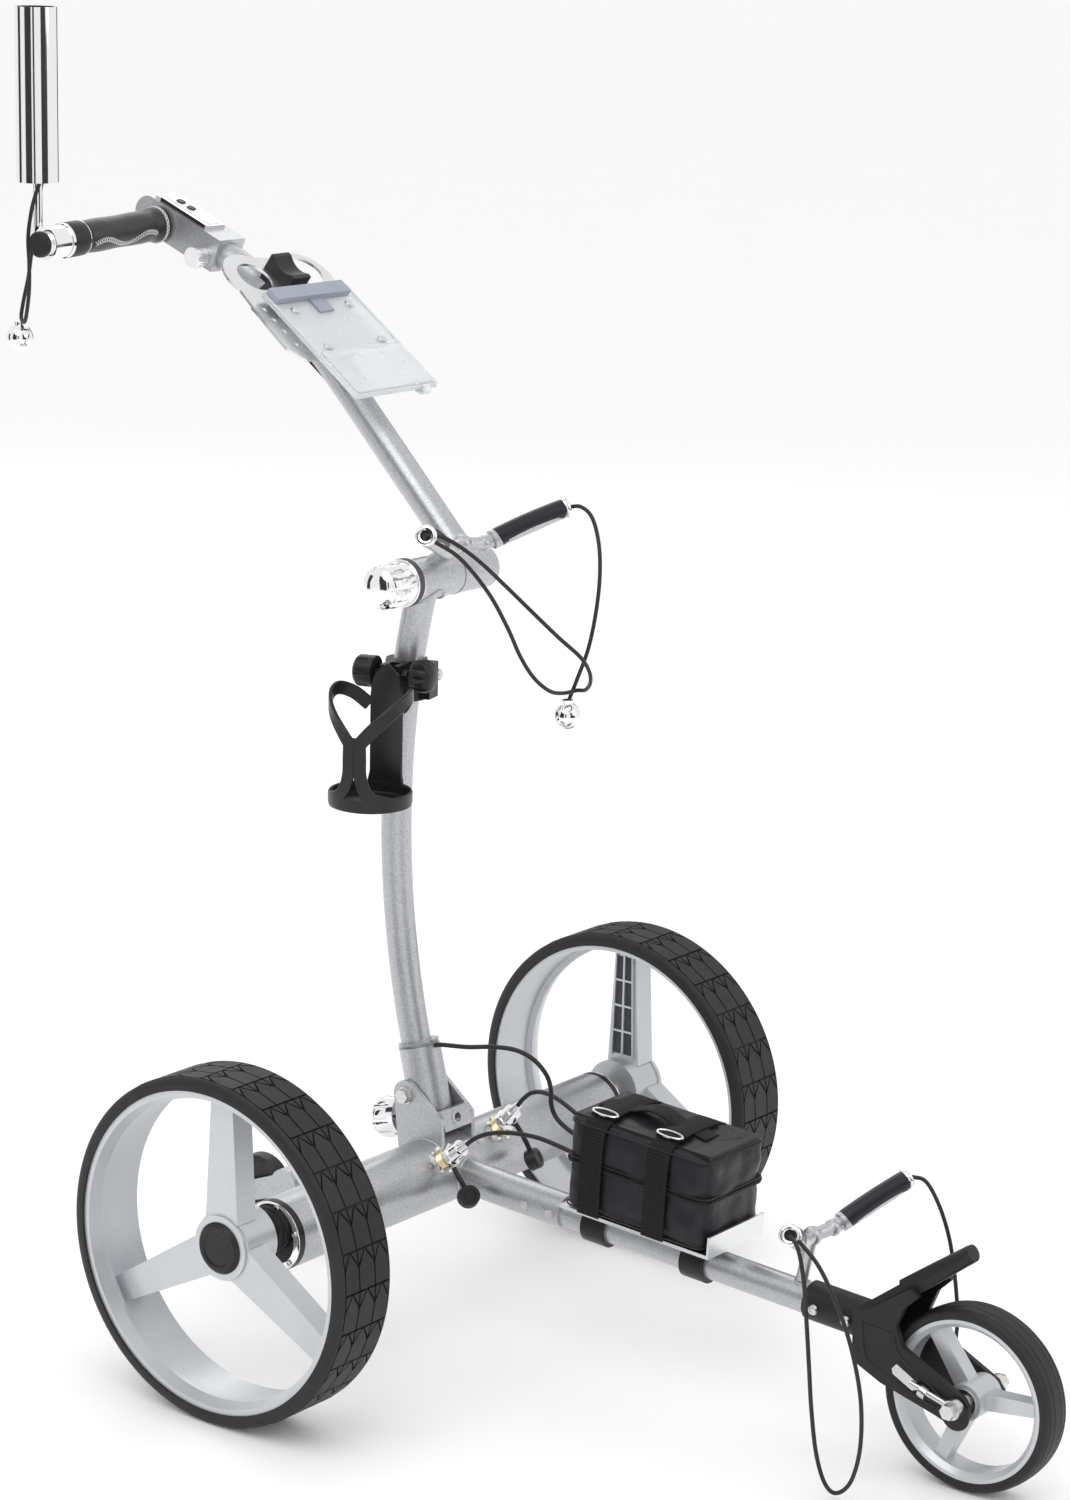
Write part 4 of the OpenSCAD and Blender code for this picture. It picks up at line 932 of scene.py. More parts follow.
class TROLLEY_OT_wheel_details(bpy.types.Operator):
    """Makes the spoke backs, their ribs, dark slabs of painted shade in their hollows and the hub rings"""
    bl_idname = "trolley.wheel_details"
    bl_label = "Wheel details"

    def execute(self, context):
        rim = kept("rim_silver", moulded, context.scene.trolley_colours.rim, 0.3, 0.00006, 1400, 0.06, metallic=0.55)
        # Painted shade: a near-black copy of the rim grey for the slabs in the spoke hollows, standing for the shade
        # there
        dark = kept("spoke_hollow", moulded, (0.045, 0.050, 0.058), 0.5)
        for side, name in ((1, "left"), (-1, "right")):
            at = wheel_frame(name + "_tyre", side)
            hollow, ribs = [], []
            back = -12.0
            for k in range(3):
                turn = at @ Matrix.Rotation(radians(120 * k - 90 * side), 4, "Z")
                # Slabs of painted shade on the floor of each spoke hollow
                hollow.append(slab([(30, -11), (122, -8), (122, 8), (30, 11)], back - 0.5, back + 0.5, turn))
                ribs.append(block(30, 124, -1, 1, back - 2.5, back + 0.3, turn))
                for x in (52, 76, 100):
                    w = 12.5 - x * 0.03
                    ribs.append(block(x - 1, x + 1, -w, w, back - 2.4, back + 0.3, turn))
                for s in (-1, 1):
                    ribs.append(slab([(28, s * 12.6), (126, s * 9.4), (126, s * 8), (28, s * 11)][::s],
                                     back - 2.6, back + 0.3, turn))
            make(name + "_spoke_hollows", hollow, dark, name + "_wheel")
            make(name + "_spoke_ribs", ribs, rim, name + "_wheel", bevel=0.3)
            ring = [(27.2, 6.2), (28.3, 6.8), (28.3, 8.6), (27.2, 9.2), (23.4, 9.2), (23.4, 6.2)]
            make(name + "_hub_ring", [lathe(ring, 64, at)], rim, name + "_wheel")
        return {"FINISHED"}


class TROLLEY_OT_drive_ends(bpy.types.Operator):
    """Makes the end rings, the screws and the ribbed boots of the axle tube"""
    bl_idname = "trolley.drive_ends"
    bl_label = "Drive ends"

    def execute(self, context):
        for side, name in ((1, "left"), (-1, "right")):
            at = place(0, side * 219.2, 137, "X", -90 * side)
            ring = [(23.5, 0), (29.6, 0), (29.9, 0.5), (29.9, 1.2), (29.0, 1.8), (24.2, 1.8), (23.5, 1.2)]
            make(name + "_end_ring", [lathe(ring, 72, at)], chrome(), "chassis")
            screw = [(0, 1.6), (2.3, 1.6), (2.5, 2.0), (2.5, 3.2), (2.1, 3.6), (1.2, 3.6), (1.2, 2.4), (0, 2.4)]
            ring_of([lathe(screw, 16, place(26.7, 0, 0))], 6, name + "_end_screws", at, steel(), "chassis",
                    0.3)
            shaft = place(0, side * 219.5, 145, "X", -90 * side)
            folds = [(7.5, 0)]
            for k in range(4):
                folds += [(19.5 - k * 2.2, 0.6 + k * 4.2), (20.3 - k * 2.2, 2.0 + k * 4.2),
                          (17.6 - k * 2.2, 3.6 + k * 4.2)]
            folds += [(9.6, 18.0), (7.5, 18.0)]
            make(name + "_shaft_boot", [lathe(folds, 56, shaft)], black(), "chassis", angle=50)
        return {"FINISHED"}


# ---- tubes, welds and the folding joint ----------------------------------------------
def saddle(r, big_r, lift=0.0, steps=72):
    """The line where a tube along Z meets a larger tube along X."""
    out = []
    for k in range(steps):
        a = 2 * pi * k / steps
        out.append(Vector((r * cos(a), r * sin(a), sqrt(max(0, big_r ** 2 - (r * sin(a)) ** 2)) + lift)))
    return out


def weld(points, size, at, seed=0):
    """A bead of small overlapping ripples along a closed line."""
    scales = [1 + 0.16 * sin(i * 2.2 + seed) + 0.08 * sin(i * 0.7 + seed) for i in range(len(points))]
    return sweep([at @ p for p in points], circle(size / 2, 8), closed=True, scales=scales)


class TROLLEY_OT_welds(bpy.types.Operator):
    """Makes the weld beads"""
    bl_idname = "trolley.welds"
    bl_label = "Welds"

    def execute(self, context):
        size = context.scene.trolley_sizes.weld_size
        lean = math.degrees(math.atan2(JOINT.x - stem_x(610), 37))
        under = Matrix.Translation(JOINT) @ Matrix.Rotation(pi, 4, "Y") @ Matrix.Rotation(radians(-lean), 4, "Y") \
            @ Matrix.Rotation(pi / 2, 4, "Z")
        foot_lean = math.degrees(math.atan2(stem_x(260) - stem_x(241), 19))
        foot = place(stem_x(240), 0, 240, "Y", foot_lean)
        ring = [Vector((14.2 * cos(2 * pi * k / 64), 14.2 * sin(2 * pi * k / 64), 1.0)) for k in range(64)]
        make("stem_welds", [weld(saddle(13.6, 18.2), size, under), weld(ring, size, foot, 1)],
             silver(), "lower_stem", angle=80)
        over = place(-29, 60, 647, "Y", 45.5 - 90) @ Matrix.Rotation(pi / 2, 4, "Z")
        make("handle_weld", [weld(saddle(13.6, 18.2), size, over, 2)], silver(), "handle", angle=80)
        beam = place(0, 0, 137, "Y", 93.2) @ Matrix.Rotation(pi / 2, 4, "Z")
        beads = [weld(saddle(15.6, 30.2), size * 1.1, beam, 3)]
        tail = place(0, 0, 137, "Y", -72.6) @ Matrix.Rotation(pi / 2, 4, "Z")
        beads.append(weld(saddle(8.6, 30.2), size * 0.9, tail, 4))
        post = BEAM @ place(370, 0, 0, "Y", 8.8)
        beads.append(weld(saddle(5.9, 13.3), size * 0.9, post, 5))
        for s in (-1, 1):
            line = [Vector((30.3 * sin(radians(a)), s * 22.6, 137 + 30.3 * cos(radians(a))))
                    for a in range(-58, 49, 3)]
            beads.append(sweep(line, circle(size * 0.55, 8),
                               scales=[1 + 0.2 * sin(i * 2.3 + s) for i in range(len(line))]))
        make("frame_welds", beads, silver(), "chassis", angle=80)
        return {"FINISHED"}


class TROLLEY_OT_knobs(bpy.types.Operator):
    """Makes the fluted lock knobs, the joint washer and the split line"""
    bl_idname = "trolley.knobs"
    bl_label = "Lock knobs"

    def execute(self, context):
        at = place(JOINT.x, -31, JOINT.z, "X", 90)
        make("joint_knob_dome", [fluted(19.2, 34.2, 8, 3.2, at)], chrome(), "joint_lock_knob", angle=60)
        washer = [(5.2, 0), (18.6, 0), (20.2, -1.0), (20.4, -4), (20.2, -7), (18.8, -7.9), (5.2, -7.9)]
        grey = kept("joint_washer", moulded, (0.06, 0.06, 0.065), 0.5)
        make("joint_washer", [lathe(washer, 64, at)], grey, "joint_lock_knob")
        at = STUD @ place(-25, 0, 0, "Y", -90)
        make("base_knob_dome", [fluted(18.6, 30.2, 8, 3.0, at)], chrome(), "stem_lock_knob", angle=60)
        split = [(16.8, 32.02), (18.3, 32.02), (18.3, 32.28), (16.8, 32.28)]
        make("joint_split", [lathe(split, 64, place(JOINT.x, 0, JOINT.z, "X", -90))], black(), "lower_stem")
        lug = CAGE @ place(28, 0, 9)
        at = lug @ place(0, 11.6, 0, "X", -90)
        make("bottle_knob_lobes", [fluted(13.6, 20, 8, 2.6, at @ place(0, 0, 6.6))], black(),
             "bottle_lock_knob", angle=50)
        return {"FINISHED"}


class TROLLEY_OT_cradles(bpy.types.Operator):
    """Makes the rubber sleeves and the cord rings of the cradle arms"""
    bl_idname = "trolley.cradles"
    bl_label = "Cradles"

    def execute(self, context):
        for name, body, shoulder, tip in (("upper", "lower_stem", (15, 22, 679), (46, 91, 704)),
                                          ("lower", "chassis", (384, 22, 171), (413, 84, 202))):
            sleeves, rings, hole_shade_discs = [], [], []
            for s in (-1, 1):
                a = Vector((shoulder[0], s * shoulder[1], shoulder[2]))
                b = Vector((tip[0], s * tip[1], tip[2]))
                d = (b - a).normalized()
                bend = Vector((0, 0, 1))
                start = a + d * (9 if s > 0 else 30)
                line = [start + (b - start) * (k / 12) + bend * sin(pi * k / 12) for k in range(13)]
                scales = [0.93] + [1.0] * 11 + [0.96]
                sleeves.append(sweep(line, circle(8.25, 24), scales=scales))
                end = Matrix.Translation(b) @ d.to_track_quat("Z", "Y").to_matrix().to_4x4()
                rings.append(lathe([(4.2, -2), (8.4, -2), (8.9, -1), (8.9, 1.2), (8.2, 2.2), (6.4, 2.8), (4.6, 2.2),
                                    (4.2, 1.2)], 40, end))
                # Painted shade: black dished discs sunk in the ring bores stand for the shade inside the holes
                hole_shade_discs.append(lathe([(0, -2.5), (4.4, -2.5), (4.4, 1.4), (3.9, 1.6), (3.2, 0.8), (0, 0.4)], 24, end))
            make(name + "_cradle_sleeves", sleeves, sleeve_rubber(), body, angle=60)
            make(name + "_cradle_rings", rings, chrome(), body)
            make(name + "_cradle_ring_linings", hole_shade_discs, black(), body)
        return {"FINISHED"}


# ---- bottle holder -----------------------------------------------------------------------
def round_the_bottle(r, path, w, t, at, per=6):
    """A band of width w and thickness t lying on a cylinder; the path holds (degrees, z)."""
    line = smooth_path([Vector((a, z, 0)) for a, z in path], per)
    verts, faces = [], []
    section = strip(w, t, 0.9)
    n, m = len(line), len(section)
    for i, p in enumerate(line):
        q0, q1 = line[max(i - 1, 0)], line[min(i + 1, n - 1)]
        a = radians(p.x)
        out = Vector((cos(a), sin(a), 0))
        around = Vector((-sin(a), cos(a), 0))
        along = (around * radians(q1.x - q0.x) * r + Vector((0, 0, q1.y - q0.y))).normalized()
        side = out.cross(along)
        centre = out * r + Vector((0, 0, p.y))
        for u, v in section:
            verts.append(at @ (centre + side * u + out * v))
    for i in range(n - 1):
        for j in range(m):
            q = (j + 1) % m
            faces.append([i * m + j, i * m + q, (i + 1) * m + q, (i + 1) * m + j])
    faces.append(list(range(m))[::-1])
    faces.append([(n - 1) * m + j for j in range(m)])
    return verts, faces, None


class TROLLEY_OT_bottle_holder(bpy.types.Operator):
    """Makes the bottle cage with its back plate, arms, strut and cup"""
    bl_idname = "trolley.bottle_holder"
    bl_label = "Bottle holder"

    def execute(self, context):
        at = CAGE @ place(72, 0, 0)
        low = -94.0
        parts = []
        half = []
        for i in range(13):
            z = low + 3 + i * 9.2
            top = max(0.0, (i - 9) / 3)
            half.append((z, 15 * sqrt(max(0.0, 1 - top ** 2)) if i > 9 else 15 + (2.0 if i < 2 else 0)))
        verts, faces = [], []
        across = 9
        for r in (32.4, 34.9):
            for z, w in half:
                for k in range(across):
                    a = pi + (k / (across - 1) - 0.5) * 2 * max(w, 0.8) / 34.0
                    verts.append(at @ Vector((r * cos(a), r * sin(a), z)))
        rows = len(half)
        for layer in (0, 1):
            o = layer * rows * across
            for i in range(rows - 1):
                for k in range(across - 1):
                    faces.append([o + i * across + k, o + i * across + k + 1, o + (i + 1) * across + k + 1,
                                  o + (i + 1) * across + k])
        rim = list(range(across)) + [i * across + across - 1 for i in range(1, rows)]
        rim += [(rows - 1) * across + k for k in range(across - 2, -1, -1)]
        rim += [i * across for i in range(rows - 2, 0, -1)]
        o = rows * across
        for i, a in enumerate(rim):
            b = rim[(i + 1) % len(rim)]
            faces.append([a, b, o + b, o + a])
        parts.append((verts, faces, None))
        for s in (-1, 1):
            parts.append(round_the_bottle(33.6, [(180 - s * 26, -16), (180 - s * 52, -4), (180 - s * 84, 1),
                                                 (180 - s * 118, -7), (180 - s * 150, -21), (180 - s * 172, -35)],
                                          11.5, 3, at))
            parts.append(round_the_bottle(33.6, [(180 - s * 172, -30), (180 - s * 171.5, -46), (180 - s * 170, -64),
                                                 (180 - s * 158, -79), (180 - s * 128, -86)], 11, 3, at))
        cup = [(0, low), (31, low), (34.4, low + 1.2), (35.1, low + 4), (35.1, low + 12), (34.2, low + 13.4),
               (32.9, low + 13), (32.3, low + 12), (32.3, low + 4), (31, low + 3), (0, low + 3)]
        parts.append(lathe(cup, 72, at))
        plastic = kept("cage_plastic", moulded, tinted(context.scene.trolley_colours.black, 1.3), 0.33)
        make("bottle_cage_bands", parts, plastic, "bottle_holder", ["bottle_cage"], 30, bevel=0.4)
        clampring = [(13.3, -16.5), (16.4, -16.5), (17.7, -15.2), (17.9, 0), (17.7, 15.2), (16.4, 16.5), (13.3, 16.5)]
        make("bottle_clamp_band", [lathe(clampring, 64, place(stem_x(560), 0, 560, "Y", 1.5))], plastic,
             "lower_stem")
        head = [(0, 0), (4.6, 0), (4.9, 0.6), (4.9, 3.0), (4.0, 4.0), (0, 4.0)]
        make("bottle_clamp_screw", [lathe(head, 24, CAGE @ place(-6, 25, 4, "X", -90)),
                                    slab(hexagon(2.2), 3.9, 4.3, CAGE @ place(-6, 25, 4, "X", -90))],
             steel(), "lower_stem")
        return {"FINISHED"}


# ---- grip, controller and umbrella holder ----------------------------------------------------
def grip_radius(u):
    """Radius of the leather along the grip."""
    return 13.1 + 1.3 * sin(pi * min(1, max(0, u)) * 0.9) + 0.5 * sin(u * 9.0)


class TROLLEY_OT_grip(bpy.types.Operator):
    """Makes the stitched leather grip with its end fittings"""
    bl_idname = "trolley.grip"
    bl_label = "Grip"

    def execute(self, context):
        spacing = context.scene.trolley_sizes.stitch_spacing
        leather = kept("grip_leather", grained_leather, context.scene.trolley_colours.leather)
        outline = [(11.05, 0.5), (14.4, 0.5), (15.2, 1.4), (15.4, 9.0), (14.9, 10.2)]
        outline += [(grip_radius(k / 22), 11 + k * 3.8) for k in range(1, 23)]
        outline += [(13.4, 96.0), (12.8, 97.4), (11.05, 97.4)]
        at = GRIP
        make("grip_leather_sleeve", [lathe(outline, 72, at)], leather, "handle", ["leather_grip"], 50,
             subdivide=1)
        cross = []
        for s in (-1, 1):
            cross.append(sweep([Vector((-1.5, s * 1.5, 0.05)), Vector((0, 0, 0.55)), Vector((1.5, -s * 1.5, 0.05))],
                               circle(0.42, 6)))
        down = radians(-116)
        seam = []
        for k in range(0, 61):
            u = k / 60
            a = down + radians(15) * sin(2 * pi * u * 1.5)
            r = grip_radius(u) + 0.15
            seam.append((14 + u * 80, r * cos(a), r * sin(a)))
        turn = at @ Matrix(((0, 0, 1, 0), (0, 1, 0, 0), (-1, 0, 0, 0), (0, 0, 0, 1))).inverted()
        make("grip_seam", [sweep([turn @ Vector(p) for p in seam], circle(0.5, 6))], leather, "handle")
        stitches = []
        for k in range(2, len(seam) - 2, 2):
            p, q = Vector(seam[k]), Vector(seam[k + 1])
            out = Vector((0, p.y, p.z)).normalized()
            along = (q - p).normalized()
            side = out.cross(along)
            for s in (-1, 1):
                a = p + along * 1.3 + side * (2.3 * s)
                b = p - along * 1.3 - side * (2.3 * s)
                line = [a - out * 0.25, a * 0.7 + b * 0.3 + out * 0.42, (a + b) / 2 + out * 0.6,
                        a * 0.3 + b * 0.7 + out * 0.42, b - out * 0.25]
                stitches.append(sweep([turn @ v for v in line], circle(0.24, 6)))
        make("grip_seam_stitches", stitches, thread(), "handle")
        on_collar = Matrix.Translation((15.45, 0, 5.2)) @ Matrix.Rotation(pi / 2, 4, "Y")
        cross = [([on_collar @ p for p in verts], faces, uvs) for verts, faces, uvs in cross]
        ring_of(cross, int(2 * pi * 15.4 / spacing), "collar_stitches", at, thread(), "handle")
        tail = [(11.05, 98.6), (14.2, 98.6), (15.0, 99.6), (15.2, 104), (15.2, 117), (14.6, 120.4), (11.05, 120.4)]
        make("grip_rubber_ring", [lathe(tail, 64, at)], kept("ring_rubber", moulded, (0.016, 0.016, 0.017), 0.42),
             "handle")
        screw = [(0, 0), (2.6, 0), (2.6, 1.0), (1.8, 1.6), (1.1, 1.6), (1.1, 0.8), (0, 0.8)]
        make("grip_ring_screw", [lathe(screw, 16, at @ place(-10.6, 10.6, 110, "Z", 135) @ place(0, 0, 0, "Y", 90))],
             steel(), "handle")
        cap = [(0, 143.2), (9.6, 143.2), (10.9, 143.8), (11.2, 145.4), (10.9, 149.0), (9.8, 150.3), (8.2, 150.5),
               (7.6, 149.9), (0, 149.9)]
        make("grip_end_cap", [lathe(cap, 56, at)], black(), "handle")
        return {"FINISHED"}


class TROLLEY_OT_controller(bpy.types.Operator):
    """Makes the top plate, the edge line, the button bezels and the notched dial of the controller"""
    bl_idname = "trolley.controller"
    bl_label = "Controller"

    def execute(self, context):
        white = kept("panel_white", moulded, (0.70, 0.71, 0.73), 0.22, 0.00005, 2000, 0.05)
        plate = slab([(x, y) for x, y in rounded(56, 15, 3.5)], 0, 0.5, HEAD @ place(34, 0, 18.0))
        make("panel_plate", [plate], white, "handle", bevel=0.15)
        side = block(6.4, 61.6, -12.6, -11.9, 15.02, 17.8, HEAD)
        make("panel_side_strip", [side], black(), "handle")
        wells = []
        for x in (19, 32):
            rims = ((5.8, 5.0, 18.55), (5.8, 5.0, 18.95), (4.8, 4.72, 18.95), (4.8, 4.72, 18.55))
            v = [HEAD @ Vector((x + a * cos(2 * pi * k / 32), b * sin(2 * pi * k / 32), z))
                 for a, b, z in rims for k in range(32)]
            f = []
            for ring in range(4):
                for k in range(32):
                    m = (k + 1) % 32
                    a0, b0 = ring * 32, ((ring + 1) % 4) * 32
                    f.append([a0 + k, a0 + m, b0 + m, b0 + k])
            wells.append((v, f, None))
        make("button_bezels", wells, chrome(), "handle")
        dial = HEAD @ place(72, 0, -7, "X", 90)
        notch = [block(8.7, 9.35, -0.35, 0.35, 19.5, 27.5)]
        ring_of(notch, 28, "dial_notches", dial, chrome(), "dial")
        return {"FINISHED"}


class TROLLEY_OT_card_holder(bpy.types.Operator):
    """Makes the strap, the pen clip and the board's edging of the card holder"""
    bl_idname = "trolley.card_holder"
    bl_label = "Card holder"

    def execute(self, context):
        loop = []
        for k in range(40):
            a = 2 * pi * k / 40
            loop.append(Vector((-86, 16.5 * cos(a), -29 + 18.0 * sin(a))))
        rubber = kept("strap_rubber", moulded, (0.012, 0.012, 0.013), 0.4)
        strap = sweep(loop, strip(2.6, 12, 0.8), closed=True, up=(1, 0, 0), at=CARD)
        make("card_strap", [strap], rubber, "handle", angle=50)
        edge = []
        pts = rounded(129, 105, 4, 4)
        edge.append(sweep([Vector((x, y, 0.3)) for x, y in pts], strip(2.2, 1.2, 0.4), closed=True, up=(0, 0, 1),
                          at=CARD))
        clear = kept("board_clear", frosted, (0.93, 0.95, 0.97))
        make("board_edging", edge, clear, "handle")
        lines = [block(12, 13, -50, 50, 1.5, 2.0, CARD), block(61, 62.4, -50, 50, 1.5, 2.1, CARD)]
        make("pocket_edges", lines, clear, "handle")
        clip = sweep(smooth_path([(66, 34, 2.2), (70, 34, 1.2), (70.5, 34, -3.5), (64, 34, -6.2), (52, 34, -6.6)], 4),
                     strip(1.4, 9, 0.4), up=(0, 1, 0), at=CARD)
        make("pen_clip", [clip], clear, "handle")
        studs = [lathe([(0, 0), (4.0, 0), (4.3, 0.6), (3.6, 1.8), (0, 2.2)], 24, CARD @ place(x, y, 0.1))
                 for x in (-40, 6) for y in (-35, 35)]
        make("board_studs", studs, steel(), "handle")
        return {"FINISHED"}


# ---- battery bag ------------------------------------------------------------------------------
# Rear end, front end, width, floor and top of the bag, in the frame of the beam
BAG = (157.0, 302.0, 88.0, 24.0, 106.0)
STRAP_STATIONS = (187, 252)


def cloth_box(name, low, high, settings, quick):
    """A closed cloth box that is swelled by air and then keeps its place."""
    bm = bmesh.new()
    bmesh.ops.create_cube(bm, size=1.0)
    bmesh.ops.bevel(bm, geom=bm.edges[:], offset=0.045, segments=2, affect="EDGES", profile=0.6)
    size = [h - l for l, h in zip(low, high)]
    mid = [(h + l) / 2 for l, h in zip(low, high)]
    for v in bm.verts:
        v.co = Vector((v.co.x * size[0] + mid[0], v.co.y * size[1] + mid[1], v.co.z * size[2] + mid[2])) * MM
    mesh = bpy.data.meshes.new(name)
    bm.to_mesh(mesh)
    bm.free()
    obj = bpy.data.objects.new(name, mesh)
    bpy.context.scene.collection.objects.link(obj)
    mod = obj.modifiers.new("Cells", "REMESH")
    mod.mode, mod.voxel_size = "VOXEL", settings.voxel
    before = bake(obj)
    if not quick:
        obj.modifiers.clear()
        old, obj.data = obj.data, before
        bpy.data.meshes.remove(old)
        rest = [v.co.copy() for v in obj.data.vertices]
        mod = obj.modifiers.new("Swell", "CLOTH")
        mod.settings.use_pressure = True
        mod.settings.uniform_pressure_force = settings.pressure
        mod.settings.effector_weights.gravity = 0
        mod.settings.quality = 5
        mod.settings.mass = 0.25
        mod.settings.tension_stiffness = mod.settings.compression_stiffness = 12
        mod.settings.bending_stiffness = 0.4
        scene = bpy.context.scene
        for number in range(1, settings.last_frame + 1):
            scene.frame_set(number)
        after = bake(obj)
        obj.modifiers.clear()
        scene.frame_set(1)
        obj.data = after
        for v, p in zip(obj.data.vertices, rest):
            move = v.co - p
            if move.length > settings.swell:
                v.co = p + move.normalized() * settings.swell
    else:
        obj.modifiers.clear()
        obj.data = before
    return obj


def bake(obj):
    """The evaluated mesh of an object as a new mesh."""
    bpy.context.view_layer.update()
    graph = bpy.context.evaluated_depsgraph_get()
    return bpy.data.meshes.new_from_object(obj.evaluated_get(graph), depsgraph=graph)


def pull_in(x, z):
    """How far the bag's side draws in at a point, from its straps and seams, in millimetres."""
    straps = sum(math.exp(-((x - s) / 9.0) ** 2) for s in STRAP_STATIONS)
    seam = math.exp(-((z - 68) / 2.4) ** 2)
    return 1.5 * straps + 0.9 * seam


class TROLLEY_OT_battery_bag(bpy.types.Operator):
    """Makes the soft battery bag"""
    bl_idname = "trolley.battery_bag"
    bl_label = "Battery bag"

    def execute(self, context):
        x0, x1, w, z0, z1 = BAG
        cloth = context.scene.trolley_cloth
        obj = cloth_box("battery_bag_cloth", (x0 + 3, -w / 2 + 3.5, z0 + 0.5), (x1 - 2.5, w / 2 - 3.5, z1 + 1),
                        cloth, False)
        for v in obj.data.vertices:
            p = v.co / MM
            side = min(1.0, abs(p.y) / (w / 2 - 6)) ** 4
            top = max(0.0, min(1.0, (p.z - z1 + 7) / 6))
            front = max(0.0, min(1.0, (p.x - x1 + 9) / 6))
            k = pull_in(p.x, p.z)
            up = max(0.0, (p.z - z0) / (z1 - z0))
            folds = noise.fractal(Vector((p.x * 0.030, p.y * 0.045, p.z * 0.052)), 0.9, 2.0, 4)
            fine = noise.fractal(Vector((p.x * 0.10 + 7, p.y * 0.10, p.z * 0.14)), 0.9, 2.0, 3)
            diagonal = sin((p.x * 0.16 - p.z * 0.21 + p.y * 0.05) + folds * 3.0)
            lift = folds * 1.7 + fine * 0.5 + diagonal * 0.45 * up
            p.y += (1 if p.y > 0 else -1) * side * (lift - k)
            pressed = sum(math.exp(-((p.x - s) / 10.0) ** 2) for s in STRAP_STATIONS)
            p.z += top * (lift * 0.9 - 1.3 * pressed)
            tuck = max(0.0, 1 - abs(p.z - z0 - 30) / 34.0)
            p.x += front * (lift * 1.3 - 2.4 * tuck * (1 - abs(p.y) / (w / 2)))
            p.z = max(p.z, z0 + 0.4)
            corner = max(0.0, min(1.0, (p.x - x1 + 40) / 40)) * max(0.0, min(1.0, (p.z - z1 + 26) / 26))
            p.z -= 5.0 * corner * (0.35 + 0.65 * (1 if p.y < 0 else 0.2))
            v.co = BEAM @ p * MM
        place_bag(obj)
        return {"FINISHED"}


def place_bag(obj):
    """Finishes the bag's mesh and joins it to the trolley."""
    obj.data.materials.clear()
    obj.data.materials.append(bag_cloth())
    obj.data.shade_smooth()
    mod = obj.modifiers.new("Smooth", "SUBSURF")
    mod.levels = mod.render_levels = 1
    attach(obj, "chassis")
    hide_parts("battery_bag")


def over_the_bag(x, low, proud=1.0):
    """The line of a strap over the bag at one station, from the tray up and over."""
    w, z0, z1 = BAG[2:]
    h = w / 2 - 1.0
    pts = [(x, -h - proud + 0.6, low), (x, -h - proud, low + 18), (x, -h - proud - 0.4, (z0 + z1) / 2),
           (x, -h - proud + 0.4, z1 - 14), (x, -h + 3.0, z1 - 4), (x, -h + 12, z1 + proud + 0.6),
           (x, -h + 30, z1 + proud + 1.4), (x, 0, z1 + proud + 1.8)]
    return pts + [(a, -b, c) for a, b, c in pts[:-1][::-1]]


class TROLLEY_OT_bag_straps(bpy.types.Operator):
    """Makes the straps, the handle, the rings, the zips and the piping of the bag"""
    bl_idname = "trolley.bag_straps"
    bl_label = "Bag straps"

    def execute(self, context):
        x0, x1, w, z0, z1 = BAG
        width = context.scene.trolley_sizes.strap_width
        bands, tabs, rings, pipes = [], [], [], []
        for x in STRAP_STATIONS:
            line = smooth_path(over_the_bag(x, z0 + 1), 5)
            bands.append(sweep(line, strip(1.6, width, 0.4), up=(-1, 0, 0), at=BEAM))
            tab = smooth_path([(x + 1, -34, z1 + 3.6), (x + 1, -20, z1 + 5.0), (x + 1, 0, z1 + 5.2),
                               (x + 1, 12, z1 + 5.0), (x + 2, 24, z1 + 4.6)], 5)
            tabs.append(sweep(tab, strip(1.8, width + 1, 0.5), up=(-1, 0, 0), at=BEAM))
            ring = []
            for k in range(28):
                a = 2 * pi * k / 28
                ring.append(Vector((x + (width / 2 + 1.2) * cos(a), -29 + 4.2 * sin(a), z1 + 5.0 + 1.0 * sin(a))))
            rings.append(sweep(ring, circle(1.1, 8), closed=True, at=BEAM))
        make("bag_bands", bands, webbing(), "chassis", angle=60)
        make("bag_tabs", tabs, webbing(), "chassis", angle=60)
        make("bag_rings", rings, steel(), "chassis")
        handle = smooth_path([(168, -3, z1 + 2.2), (180, -3, z1 + 4.0), (200, -3, z1 + 5.6), (212, -3, z1 + 9.6),
                              (222, -3, z1 + 11), (232, -3, z1 + 9.6), (244, -3, z1 + 5.6), (262, -3, z1 + 4.0),
                              (276, -3, z1 + 1.6)], 5)
        make("bag_handle", [sweep(handle, strip(1.8, 19, 0.5), up=(0, 1, 0), at=BEAM)], webbing(), "chassis",
             angle=60)
        outline = rounded(x1 - x0 - 3.4, w - 4.0, 9, 6)
        mid = (x0 + x1) / 2
        for z in (66.4, 70.4):
            pipes.append(sweep([Vector((mid + a, b, z)) for a, b in outline], circle(0.85, 6), closed=True, at=BEAM))
        for z in (z0 + 4, z1 - 5.0):
            pipes.append(sweep([Vector((mid + a * 0.985, b * 0.99, z)) for a, b in outline], circle(0.8, 6),
                               closed=True, at=BEAM))
        make("bag_piping", pipes, bag_cloth(), "chassis", angle=70)
        tooth = block(-0.55, 0.55, -0.5, 0.5, -1.1, 1.1)
        path = [Vector((mid + a * 1.004, b * 1.006, 0)) for a, b in rounded(x1 - x0 - 3.6, w - 4.2, 9, 8)]
        row_of([tooth], path, 2.1, "bag_zip_teeth", BEAM @ place(0, 0, 68.4),
               kept("zip_teeth", moulded, (0.012, 0.012, 0.013), 0.3), "chassis", True)
        return {"FINISHED"}


